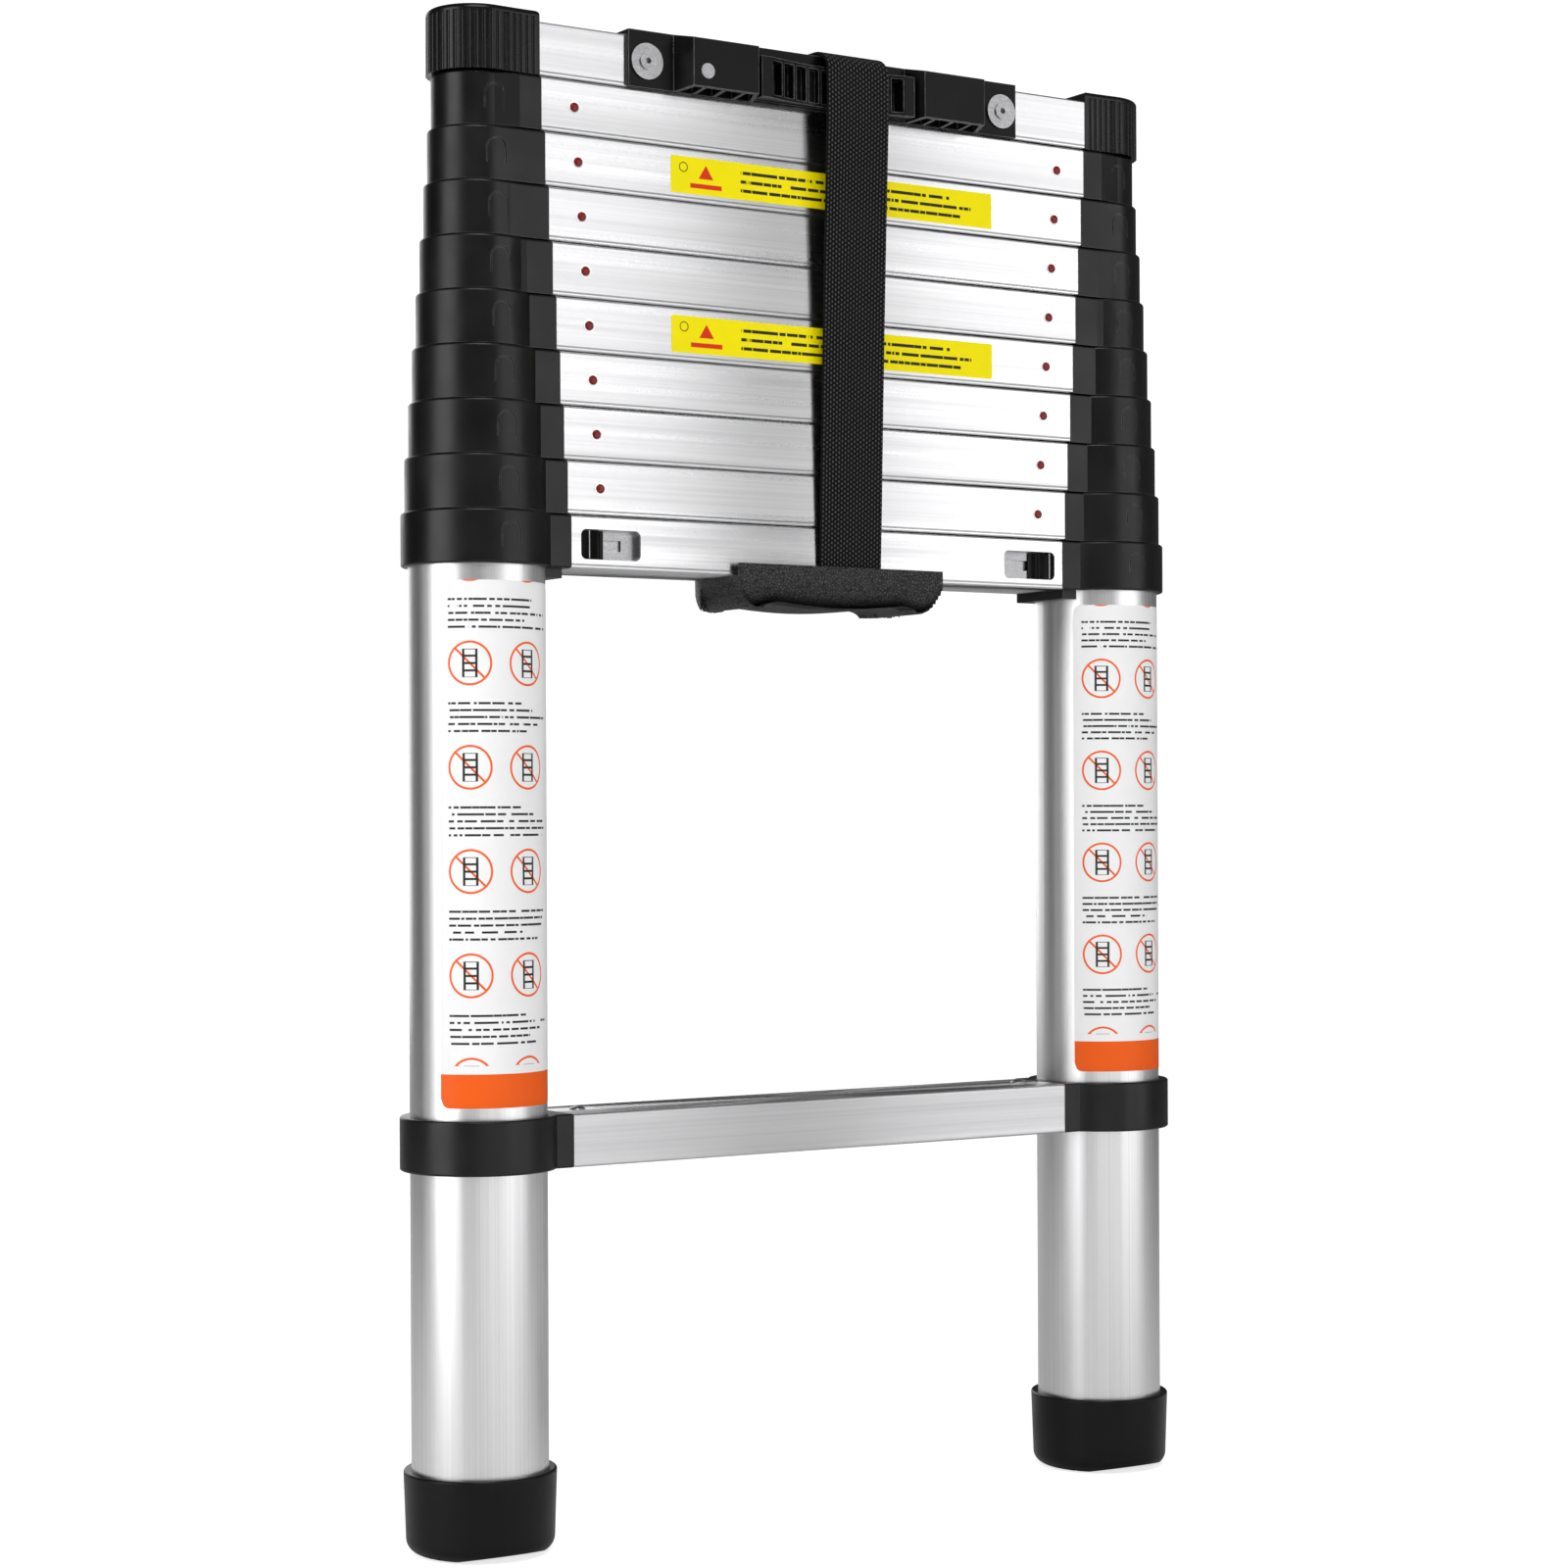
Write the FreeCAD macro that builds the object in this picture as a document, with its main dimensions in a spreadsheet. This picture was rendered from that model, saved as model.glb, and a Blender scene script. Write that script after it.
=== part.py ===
import FreeCAD, Part
import math
import os
import re

import Sketcher
from FreeCAD import Placement, Rotation, Vector

# Telescoping ladder, closed, standing on its feet.
# Two stiles of ten nested tubes each carry eleven rungs: a fixed bottom rung, the lever rung
# at the top of the base tubes, eight sliding rungs and the top rung.
# +X is to the right, +Y is to the back and +Z is up. The origin is on the floor, midway
# between the stiles. Lengths are in millimetres.

SECTIONS = 9        # sliding sections above the base; the last one carries the top rung
FLUTED_ARC = 200    # degrees of a cap's round that carry flutes
NECK_FLUTES = 5     # flutes on each flat side of a cap's neck

SIZES = {
    # stiles
    "stile_spacing": 392.4,         # between the axes of the two stiles
    "base_radius": 34.3,            # outside of the base tube
    "radius_step": 2.0,             # each tube is this much smaller in radius than the one outside it
    "tube_wall": 1.4,
    "slide_gap": 0.08,              # running clearance, all round, of a tube in its guides
    "overcut": 1.0,                 # how far a cutter runs past the face that it opens
    "tube_overlap": 60.0,           # length that stays inside the next tube when extended
    # rungs
    "rung_rise": 300.0,             # from rung to rung, extended
    "closed_pitch": 27.2,           # from rung to rung, closed
    "bottom_rung_bottom": 189.8,
    "rung_depth": 46.4,
    "rung_gap": 0.5,                # between two closed rungs
    "rung_wall": 1.6,
    "rung_corner": 1.2,
    "tread_width": 1.4,
    "tread_depth": 0.5,
    "tread_pitch": 4.4,
    "rung_treads": 9,
    "bottom_tread_pitch": 5.0,
    "bottom_tread_inset": 30.0,     # of the outermost cross tread from the bottom rung's end
    "bottom_tread_margin": 6.6,     # left plain along the front and back of the bottom rung
    # collars and clamps
    "collar_wall": 3.4,
    "collar_gap": 0.2,              # between two closed collars
    "collar_lip": 4.0,              # over the end of the tube
    "collar_shoulder": 1.6,         # rounding of the upper edge
    "neck_reach": 3.6,              # from the round of a collar to the end of its rung
    "neck_proud": 0.4,              # of the neck in front of the rung
    "neck_flare": 0.6,              # share of a collar's radius where the neck's sides run straight
    "neck_step": 1.0,               # least that the corner of a flared neck stands out of the round
    "tongue_length": 4.0,           # of the plug inside the rung's end
    "clamp_wall": 5.1,
    "clamp_reach": 1.8,
    "arch_width": 10.8,             # the arch-shaped line cut into each collar
    "arch_bottom": 8.3,
    "arch_above": 6.1,              # from the arch's crown to the collar's upper edge
    "arch_line": 0.6,
    "arch_depth": 0.4,
    # guide bushes at the foot of each sliding tube
    "bush_flange": 3.0,
    "bush_spigot": 12.0,
    "bush_wall": 3.0,
    # lock pins
    "pin_radius": 4.0,
    "pin_gap": 0.3,
    "window_inset": 18.8,           # of the indicator window from the rung's end
    "window_radius": 2.4,
    "carriage_length": 14.0,
    "carriage_margin": 5.3,         # above and below a carriage, to the rung's top and underside
    "carriage_depth": 24.0,
    "spring_radius": 4.0,
    "spring_length": 22.0,
    "spring_wall": 1.0,
    # levers
    "slot_inset": 5.6,              # of the lever slot from the rung's end
    "slot_length": 34.6,
    "slot_below": 4.8,              # from the rung's underside to the slot
    "slot_above": 6.7,              # from the slot to the rung's top
    "slot_corner": 3.0,
    "lever_travel": 15.0,
    "lever_length": 15.4,
    "lever_gap": 0.3,
    "lever_proud": 1.0,
    "thumb_scoop": 9.0,             # radius of the hollow in the lever's inner side
    "scoop_depth": 2.7,
    "stem_side": 5.0,
    "tray_depth": 5.0,              # of the tray's floor behind the rung's face
    "tray_wall": 1.2,
    "steel_block": 10.0,            # side of the block that joins the stem to the pin
    "shutter_wall": 0.8,            # of the strip that covers the tray's slit from behind
    "shutter_near": 9.0,            # from the stem's middle to the strip's outer end
    "shutter_margin": 2.0,          # of the strip past the slit
    # guard plates under the lever collars
    "guard_reach": 3.9,             # past the base tube, on the rung's side
    "guard_front": 19.0,
    "guard_back": 23.0,
    "guard_thickness": 4.9,
    # caps
    "cap_wall": 7.9,
    "cap_height": 32.0,
    "cap_roof": 3.0,
    "cap_edge": 2.4,
    "cap_reach": 0.2,               # from the round of a cap to the end of the top rung
    "flute_radius": 1.2,
    "flute_depth": 0.72,
    "flute_pitch": 3.6,
    "neck_flute_start": 6.48,       # of the first neck flute from the stile's axis
    "flute_top": 3.2,               # left plain under the cap's upper edge
    # top bracket
    "bracket_half": 122.0,
    "bracket_plate": 2.5,
    "bracket_lip": 2.4,
    "block_near": 48.0,             # from the middle to the near and far sides of each block
    "block_far": 95.5,
    "block_taper": 4.2,
    "block_reach": 13.1,            # of the block in front of the plate
    "block_rise": 1.5,              # of its front edge above the plate's lower edge
    "block_drop": 3.0,              # of its front edge below the bracket's top
    "block_wall": 2.0,
    "block_ribs": 3,
    "rest_reach": 9.4,              # of the pole rest's highest ribs in front of the plate
    "rest_drop": 6.4,               # of their upper edge below the bracket's top
    "rest_hollow": 150.0,           # radius of the pole rest's hollow
    "rest_middle": 3.4,             # of the hollow's deepest place in front of the plate
    "rest_rib": 1.8,
    "rest_cell": 6.6,
    "rivet_offset": 111.6,
    "rivet_height": 13.4,
    "washer_radius": 9.2,
    "washer_thickness": 1.2,
    "hub_radius": 4.4,
    "hub_height": 2.2,
    "hub_bore": 1.7,
    "shank_radius": 2.5,
    "shank_length": 6.0,
    "plug_offset": 83.0,
    "plug_height": 9.6,
    "plug_radius": 3.8,
    "plug_thickness": 1.2,
    "plug_proud": 0.4,
    # bottom rung's rivets
    "tread_rivet_inset": 15.0,      # from the bottom rung's end
    "tread_rivet_radius": 4.2,
    "tread_rivet_height": 1.8,
    # feet
    "foot_height": 40.9,
    "foot_floor": 6.0,
    "foot_top_wall": 4.0,
    "foot_low_wall": 2.6,
    "foot_round": 7.0,
    "foot_edge": 1.2,
    "sole_front": 20.0,             # the sole is flat behind this line
    "sole_bevel": 4.0,              # rise of the sole in front of it
    "sole_groove": 2.0,
    "sole_groove_depth": 1.5,
    "sole_groove_pitch": 9.0,
    "sole_grooves": 5,
    # carry handle and strap
    "handle_middle": 5.8,
    "handle_length": 128.6,
    "handle_top": 6.2,              # above the lever rung's underside
    "handle_drop": 16.6,            # below it
    "handle_wall": 2.0,
    "handle_gap": 0.5,
    "handle_round": 9.0,
    "strap_middle": 12.3,
    "strap_width": 38.6,
    "strap_thickness": 1.8,
    "strap_gap": 0.6,               # in front of the rungs
    "strap_start": 1.4,             # of its ends above the lever rung's underside
    "strap_fold": 6.0,              # bevel of its fold over the front of the bracket
    "strap_back_fold": 1.6,         # bevel of its fold over the back of the top rung
}

STILE = "(stile_spacing / 2)"
LEVER_RUNG_BOTTOM = "(bottom_rung_bottom + rung_rise)"
LEFT = f"(-{STILE})"
RUNG_FACE = "(rung_depth / 2)"
RUNG_HEIGHT = "(closed_pitch - rung_gap)"
COLLAR_HEIGHT = "(closed_pitch - collar_gap)"
NECK_FACE = f"({RUNG_FACE} + neck_proud)"
PIN_HOLE = "(pin_radius + pin_gap)"
LOCK_HEIGHT = f"({RUNG_HEIGHT} / 2)"            # of the pins' axis above the rung's underside
SLOT_HALF = f"(({RUNG_HEIGHT} - slot_below - slot_above) / 2)"
CARRIAGE_HALF = f"({RUNG_HEIGHT} / 2 - carriage_margin)"
FLUTE_CENTRE = "(flute_radius - flute_depth)"    # of a flute's axis outside the face that it cuts
FOOT_TOP_RADIUS = "(base_radius + foot_top_wall)"
PLATE_FACE = f"({RUNG_FACE} + bracket_plate)"
CLAMP_RADIUS = "(base_radius + clamp_wall)"
BOTTOM_RUNG_END = f"({CLAMP_RADIUS} + clamp_reach)"

TURN = {
    "x": Rotation(Vector(0, 1, 0), 90),
    "y": Rotation(Vector(1, 0, 0), -90),
    "z": Rotation(),
}


def tube_radius(section):
    return f"(base_radius - {section} * radius_step)"


def bore_radius(section):
    return f"({tube_radius(section)} - tube_wall)"


def collar_radius(section):
    return f"({tube_radius(section)} + collar_wall)"


def rung_bottom(section):
    return f"({LEVER_RUNG_BOTTOM} + {section} * closed_pitch)"


CAP_RADIUS = f"({tube_radius(SECTIONS)} + cap_wall)"


def rung_end(section):
    """From the stile's axis to the end of the rung."""
    if section == SECTIONS:
        return f"({CAP_RADIUS} + cap_reach)"
    return f"({collar_radius(section)} + neck_reach)"


def tube_bottom(section):
    if section == 0:
        return "(foot_floor)"
    return f"({rung_bottom(section)} - rung_rise - tube_overlap)"


def tube_top(section):
    if section == SECTIONS:
        return f"({rung_bottom(section)} + cap_height - cap_roof)"
    return f"({rung_bottom(section)} + {COLLAR_HEIGHT} - collar_lip)"


SLOT_START = f"({rung_end(0)} + slot_inset)"     # of the lever slot from the stile's axis
STEM_MIDDLE = f"({SLOT_START} + lever_gap + lever_length / 2)"
TREAD_RIVET = f"({STILE} - {BOTTOM_RUNG_END} - tread_rivet_inset)"


# ---- the document and its sheet ---------------------------------------------------------

doc = FreeCAD.newDocument("telescoping_ladder")
sheet = doc.addObject("Spreadsheet::Sheet", "Sizes")
for row, (alias, size) in enumerate(SIZES.items(), start=1):
    sheet.set(f"A{row}", alias)
    sheet.set(f"B{row}", str(size))
    sheet.setAlias(f"B{row}", alias)
doc.recompute()

nodes = []


def bound(formula):
    """Puts the sheet's name before each of its aliases."""
    return re.sub(r"[a-z_]+", lambda word: f"Sizes.{word[0]}" if word[0] in SIZES else word[0], formula)


def bind(item, place, formula):
    item.setExpression(place, bound(formula))


def value(formula):
    return float(sheet.evalExpression(bound(formula)))


def place(item, x="0", y="0", z="0", turn="z"):
    item.Placement = Placement(Vector(), TURN[turn])
    for axis, formula in zip("xyz", (x, y, z)):
        bind(item, f"Placement.Base.{axis}", formula)
    return item


def node(item, label):
    """Names a finished sub-part and puts it on the list that is written out."""
    item.Label = label
    nodes.append(item)
    return item


# ---- solids and booleans -----------------------------------------------------------------

def box(name, x, y, z):
    """A box from three pairs of formulas, the low and the high side on each axis."""
    item = doc.addObject("Part::Box", name)
    for side, (low, high) in zip(("Length", "Width", "Height"), (x, y, z)):
        bind(item, side, f"{high} - {low}")
    return place(item, x[0], y[0], z[0])


def cylinder(name, radius, length, x="0", y="0", z="0", turn="z"):
    item = doc.addObject("Part::Cylinder", name)
    bind(item, "Radius", radius)
    bind(item, "Height", length)
    return place(item, x, y, z, turn)


def cut(name, base, *tools):
    item = doc.addObject("Part::Cut", name)
    item.Base = base
    item.Tool = tools[0] if len(tools) == 1 else group(f"{name}_tools", *tools)
    return item


def fuse(name, *shapes):
    item = doc.addObject("Part::MultiFuse", name)
    item.Shapes = list(shapes)
    item.Refine = True
    return item


def common(name, *shapes):
    item = doc.addObject("Part::MultiCommon", name)
    item.Shapes = list(shapes)
    return item


def group(name, *shapes):
    item = doc.addObject("Part::Compound", name)
    item.Links = list(shapes)
    return item


def mirrored(name, source):
    item = doc.addObject("Part::Mirroring", name)
    item.Source = source
    item.Base = Vector(0, 0, 0)
    item.Normal = Vector(1, 0, 0)
    return item


def both_sides(name, *shapes):
    """The shapes of the left stile with their mirror images."""
    return group(name, *shapes, *[mirrored(f"{shape.Name}_right", shape) for shape in shapes])


def ring(name, outer, inner, length, x="0", y="0", z="0", turn="z"):
    wall = cylinder(f"{name}_wall", outer, length, x, y, z, turn)
    bore = cylinder(f"{name}_bore", inner, length, x, y, z, turn)
    return cut(name, wall, bore)


# ---- bodies, sketches and features -------------------------------------------------------

def new_body(name, x="0", y="0", z="0"):
    return place(doc.addObject("PartDesign::Body", name), x, y, z)


def origin_part(body, role):
    return next(part for part in body.Origin.OriginFeatures if part.Role == role)


def sketch(body, name, plane, offset="0"):
    flat = body.newObject("Sketcher::SketchObject", name)
    flat.AttachmentSupport = [(origin_part(body, plane), "")]
    flat.MapMode = "FlatFace"
    bind(flat, "AttachmentOffset.Base.z", offset)
    return flat


def dimension(flat, kind, *terms, formula):
    index = flat.addConstraint(Sketcher.Constraint(kind, *terms, value(formula)))
    bind(flat, f"Constraints[{index}]", formula)


def outline(flat, *corners):
    """Straight edges round the corners, each corner dimensioned from the sketch's origin."""
    points = [Vector(value(across), value(up), 0) for across, up in corners]
    first = flat.GeometryCount
    edges = range(first, first + len(points))
    for start, end in zip(points, points[1:] + points[:1]):
        flat.addGeometry(Part.LineSegment(start, end), False)
    for edge, following in zip(edges, [*edges[1:], edges[0]]):
        flat.addConstraint(Sketcher.Constraint("Coincident", edge, 2, following, 1))
    for edge, (across, up) in zip(edges, corners):
        dimension(flat, "DistanceX", -1, 1, edge, 1, formula=across)
        dimension(flat, "DistanceY", -1, 1, edge, 1, formula=up)
    return flat


def rectangle(flat, low_x, high_x, low_y, high_y):
    return outline(flat, (low_x, low_y), (high_x, low_y), (high_x, high_y), (low_x, high_y))


def circle(flat, radius, across="0", up="0"):
    centre = Vector(value(across), value(up), 0)
    edge = flat.addGeometry(Part.Circle(centre, Vector(0, 0, 1), value(radius)), False)
    dimension(flat, "DistanceX", -1, 1, edge, 3, formula=across)
    dimension(flat, "DistanceY", -1, 1, edge, 3, formula=up)
    dimension(flat, "Radius", edge, formula=radius)
    return flat


def pad(body, name, profile, length, both_ways=False):
    feature = body.newObject("PartDesign::Pad", name)
    feature.Profile = profile
    feature.SideType = "Symmetric" if both_ways else "One side"
    bind(feature, "Length", length)
    return feature


def pocket(body, name, profile, length=None, both_ways=False, ahead=False):
    """Cuts behind the sketch, or ahead of it, by the length or through everything."""
    feature = body.newObject("PartDesign::Pocket", name)
    feature.Profile = profile
    feature.SideType = "Symmetric" if both_ways else "One side"
    feature.Reversed = ahead
    if length is None:
        feature.Type = "ThroughAll"
    else:
        bind(feature, "Length", length)
    return feature


def row(body, name, feature, axis, pitch, count):
    """Repeats a feature along one of the body's own axes."""
    pattern = body.newObject("PartDesign::LinearPattern", name)
    pattern.Originals = [feature]
    pattern.Direction = (origin_part(body, axis), [""])
    pattern.Mode = "Spacing"
    bind(pattern, "Offset", pitch)
    bind(pattern, "Occurrences", count)
    body.Tip = pattern
    return pattern


def edge_names(shape, wanted):
    return [f"Edge{count}" for count, edge in enumerate(shape.Edges, start=1) if wanted(edge)]


def fillet(body, name, feature, radius, wanted):
    doc.recompute()
    rounded = body.newObject("PartDesign::Fillet", name)
    rounded.Base = (feature, edge_names(feature.Shape, wanted))
    bind(rounded, "Radius", radius)
    return rounded


def at_height(height):
    """Picks the edges that lie flat at this height of their body."""
    def wanted(edge):
        low, high = edge.BoundBox.ZMin, edge.BoundBox.ZMax
        return abs(low - height) < 1e-3 and abs(high - height) < 1e-3
    return wanted


def along_x(edge):
    return edge.BoundBox.YLength < 1e-3 and edge.BoundBox.ZLength < 1e-3


# ---- tubes -------------------------------------------------------------------------------

def stile_tube(section):
    """The left tube of a section, with its holes for the lock pins on the rungs' side."""
    name = f"tube_{section}"
    length = f"{tube_top(section)} - {tube_bottom(section)}"
    radius = tube_radius(section)
    tube = ring(f"{name}_plain", radius, bore_radius(section), length, LEFT, "0", tube_bottom(section))
    heights = []
    if section < SECTIONS:
        heights.append(f"{rung_bottom(section)} + {LOCK_HEIGHT}")
    if section > 0:
        heights.append(f"{rung_bottom(section - 1)} + {LOCK_HEIGHT} - rung_rise + closed_pitch")
    holes = [
        cylinder(f"{name}_hole_{count}", PIN_HOLE, f"{radius} + tube_wall", LEFT, "0", height, "x")
        for count, height in enumerate(heights)
    ]
    return cut(name, tube, *holes)


def guide_bush(section):
    """Plugs the foot of a sliding tube and runs on the bore of the tube outside it."""
    name = f"bush_{section}"
    low = f"{tube_bottom(section)} - bush_flange"
    runner = f"{bore_radius(section - 1)} - slide_gap"
    flange = cylinder(f"{name}_flange", runner, "bush_flange", LEFT, "0", low)
    bore_size = bore_radius(section)
    spigot = cylinder(f"{name}_spigot", bore_size, "bush_spigot", LEFT, "0", tube_bottom(section))
    air_hole = cylinder(f"{name}_air_hole", f"{bore_size} - bush_wall", "bush_flange + bush_spigot",
                        LEFT, "0", low)
    return cut(name, fuse(f"{name}_solid", flange, spigot), air_hole)


# ---- collars, clamps and caps --------------------------------------------------------------

def sleeve(name, radius, end, height, shoulder, z, round_edge_below=False):
    """
    A round sleeve with a flat-sided neck that reaches the rung and plugs its end. The neck of
    a small round flares out to the rung's depth, and a large round swallows the flare.
    """
    body = new_body(name, LEFT, "0", z)
    round_part = circle(sketch(body, f"{name}_round", "XY_Plane"), radius)
    pad(body, f"{name}_round_pad", round_part, height)
    stand_out = f"{NECK_FACE} - {radius} * sqrt(1 - neck_flare^2)"
    start = f"({stand_out} > neck_step ? neck_flare * {radius} : neck_flare * {radius} / 2)"
    neck = outline(
        sketch(body, f"{name}_neck", "XY_Plane"),
        ("0", f"-{radius}"), (start, f"-{NECK_FACE}"), (end, f"-{NECK_FACE}"),
        (end, NECK_FACE), (start, NECK_FACE), ("0", radius),
    )
    solid = pad(body, f"{name}_neck_pad", neck, height)
    solid = fillet(body, f"{name}_shoulder", solid, shoulder, at_height(value(height)))
    if round_edge_below:
        fillet(body, f"{name}_hem", solid, "rung_corner", at_height(0))
    inner = f"({RUNG_FACE} - rung_wall)"
    tongue = rectangle(sketch(body, f"{name}_tongue", "XY_Plane", "rung_wall"),
                       f"{end} - tongue_length / 2", f"{end} + tongue_length", f"-{inner}", inner)
    pad(body, f"{name}_tongue_pad", tongue, f"{RUNG_HEIGHT} - 2 * rung_wall")
    return body


def bore(body, name, radius, length=None):
    profile = circle(sketch(body, f"{name}_circle", "XY_Plane"), radius)
    return pocket(body, name, profile, length, ahead=True)


def pin_channel(body, name):
    profile = circle(sketch(body, f"{name}_circle", "YZ_Plane"), PIN_HOLE, "0", LOCK_HEIGHT)
    return pocket(body, name, profile, ahead=True)


def arch_line(name, radius, z):
    """The thin arch that is engraved in the front of a collar."""
    half = "(arch_width / 2)"
    middle = f"({z} + {COLLAR_HEIGHT} - arch_above - {half})"
    low = f"({z} + arch_bottom)"
    front = f"(-{radius} - overcut)"
    solids = []
    for part, inset in (("outer", "0"), ("inner", "arch_line")):
        reach = f"({half} - {inset})"
        legs = box(f"{name}_{part}_legs", (f"({LEFT} - {reach})", f"({LEFT} + {reach})"),
                   (front, "0"), (low, middle))
        crown = cylinder(f"{name}_{part}_crown", reach, f"0 - {front}", LEFT, front, middle, "y")
        solids.append(fuse(f"{name}_{part}", legs, crown))
    line = cut(f"{name}_line", *solids)
    skin = ring(f"{name}_skin", f"{radius} + overcut", f"{radius} - arch_depth", COLLAR_HEIGHT,
                LEFT, "0", z)
    return common(name, line, skin)


def collar(section):
    """The left collar of a section: it grips its own tube and guides the next one."""
    name = f"collar_{section}"
    low = rung_bottom(section)
    body = sleeve(f"{name}_body", collar_radius(section), rung_end(section), COLLAR_HEIGHT,
                  "collar_shoulder", low, round_edge_below=section == 0)
    bore(body, f"{name}_seat", tube_radius(section), f"{COLLAR_HEIGHT} - collar_lip")
    bore(body, f"{name}_guide", f"{tube_radius(section + 1)} + slide_gap")
    pin_channel(body, f"{name}_channel")
    return cut(name, body, arch_line(f"{name}_arch", collar_radius(section), low))


def clamp():
    """The left clamp of the bottom rung, right through which the base tube passes."""
    body = sleeve("clamp_body", CLAMP_RADIUS, BOTTOM_RUNG_END, COLLAR_HEIGHT,
                  "rung_corner", "bottom_rung_bottom", round_edge_below=True)
    bore(body, "clamp_bore", "base_radius")
    return body


def cap():
    """The left cap, fluted all round, which closes the smallest tube."""
    low = rung_bottom(SECTIONS)
    body = sleeve("cap_body", CAP_RADIUS, rung_end(SECTIONS), "cap_height", "cap_edge", low)
    bore(body, "cap_seat", tube_radius(SECTIONS), "cap_height - cap_roof")
    height = "cap_height - flute_top"
    circle_radius = f"({CAP_RADIUS} + {FLUTE_CENTRE})"
    gaps = int(FLUTED_ARC / math.degrees(value(f"flute_pitch / {CAP_RADIUS}")))
    flutes = []
    for step in range(gaps + 1):
        angle = 180 + FLUTED_ARC * (step / gaps - 0.5)
        x = f"{LEFT} + {circle_radius} * cos({angle:.2f}deg)"
        y = f"{circle_radius} * sin({angle:.2f}deg)"
        flutes.append(cylinder(f"flute_{step}", "flute_radius", height, x, y, low))
    for side, sign in (("front", "-"), ("back", "")):
        for step in range(NECK_FLUTES):
            x = f"{LEFT} + neck_flute_start + {step} * flute_pitch"
            y = f"{sign}({NECK_FACE} + {FLUTE_CENTRE})"
            flutes.append(cylinder(f"neck_flute_{side}_{step}", "flute_radius", height, x, y, low))
    return cut("cap", body, *flutes)


# ---- rungs ---------------------------------------------------------------------------------

def rung(name, end, z, tread_axis="Y_Axis"):
    """A hollow rung between two collars, with treads pressed into its upper side."""
    body = new_body(name, "0", "0", z)
    section = sketch(body, f"{name}_section", "YZ_Plane")
    rectangle(section, f"-{RUNG_FACE}", RUNG_FACE, "0", RUNG_HEIGHT)
    inner = f"({RUNG_FACE} - rung_wall)"
    rectangle(section, f"-{inner}", inner, "rung_wall", f"{RUNG_HEIGHT} - rung_wall")
    length = f"2 * ({STILE} - {end})"
    tube = pad(body, f"{name}_tube", section, length, both_ways=True)
    outside = value(RUNG_FACE)

    def outer_corner(edge):
        return along_x(edge) and abs(abs(edge.BoundBox.YMin) - outside) < 1e-3

    fillet(body, f"{name}_corners", tube, "rung_corner", outer_corner)
    depth = f"{RUNG_HEIGHT} - tread_depth"
    if tread_axis == "Y_Axis":
        groove = rectangle(sketch(body, f"{name}_tread", "YZ_Plane"),
                           "-tread_pitch * (rung_treads - 1) / 2 - tread_width / 2",
                           "-tread_pitch * (rung_treads - 1) / 2 + tread_width / 2",
                           depth, f"{RUNG_HEIGHT} + overcut")
        first = pocket(body, f"{name}_first_tread", groove, f"{length} + overcut", both_ways=True)
        row(body, f"{name}_treads", first, "Y_Axis", "tread_pitch", "rung_treads")
    else:
        count = f"(floor(({length} - 2 * bottom_tread_inset) / bottom_tread_pitch) + 1)"
        start = f"(-bottom_tread_pitch * ({count} - 1) / 2)"
        groove = rectangle(sketch(body, f"{name}_tread", "XZ_Plane"),
                           f"{start} - tread_width / 2", f"{start} + tread_width / 2",
                           depth, f"{RUNG_HEIGHT} + overcut")
        reach = "rung_depth - 2 * bottom_tread_margin"
        first = pocket(body, f"{name}_first_tread", groove, reach, both_ways=True)
        row(body, f"{name}_treads", first, "X_Axis", "bottom_tread_pitch", count)
    return body


def lock_windows(name, section):
    """Cutters for the two round windows in a rung's face."""
    offset = f"{STILE} - {rung_end(section)} - window_inset"
    height = f"{rung_bottom(section)} + {LOCK_HEIGHT}"
    return [
        cylinder(f"{name}_window_{side}", "window_radius", "rung_wall + 2 * overcut", f"{sign}({offset})",
                 f"-{RUNG_FACE} - overcut", height, "y")
        for side, sign in (("left", "-"), ("right", ""))
    ]


def lock(section):
    """The left spring-loaded lock of a sliding rung: pin, carriage, spring and stop."""
    name = f"lock_{section}"
    height = f"({rung_bottom(section)} + {LOCK_HEIGHT})"
    tip = f"({LEFT} + {tube_radius(section + 1)} + pin_gap)"
    near = f"({LEFT} + {rung_end(section)} + window_inset - carriage_length / 2)"
    far = f"({near} + carriage_length)"
    inner = f"({RUNG_FACE} - rung_wall)"
    span = (f"({height} - {CARRIAGE_HALF})", f"({height} + {CARRIAGE_HALF})")
    depth = (f"(pin_gap - {inner})", "(carriage_depth / 2)")
    pin = cylinder(f"{name}_pin", "pin_radius", f"{near} - {tip}", tip, "0", height, "x")
    carriage = box(f"{name}_carriage", (near, far), depth, span)
    spring = ring(f"{name}_spring", "spring_radius", "spring_radius - spring_wall", "spring_length",
                  far, "0", height, "x")
    stop_near = f"({far} + spring_length)"
    low, high = rung_bottom(section), f"({rung_bottom(section)} + {RUNG_HEIGHT})"
    stop = box(f"{name}_stop", (stop_near, f"({stop_near} + tray_wall)"), (f"(-{inner})", inner),
               (f"({low} + rung_wall)", f"({high} - rung_wall)"))
    return [pin, carriage, spring, stop]


# ---- levers --------------------------------------------------------------------------------

SLOT_HEIGHT = f"({rung_bottom(0)} + slot_below + {SLOT_HALF})"
TRAY_FLOOR = f"({RUNG_FACE} - tray_depth)"      # distance of the tray's floor in front of the axis


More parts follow.
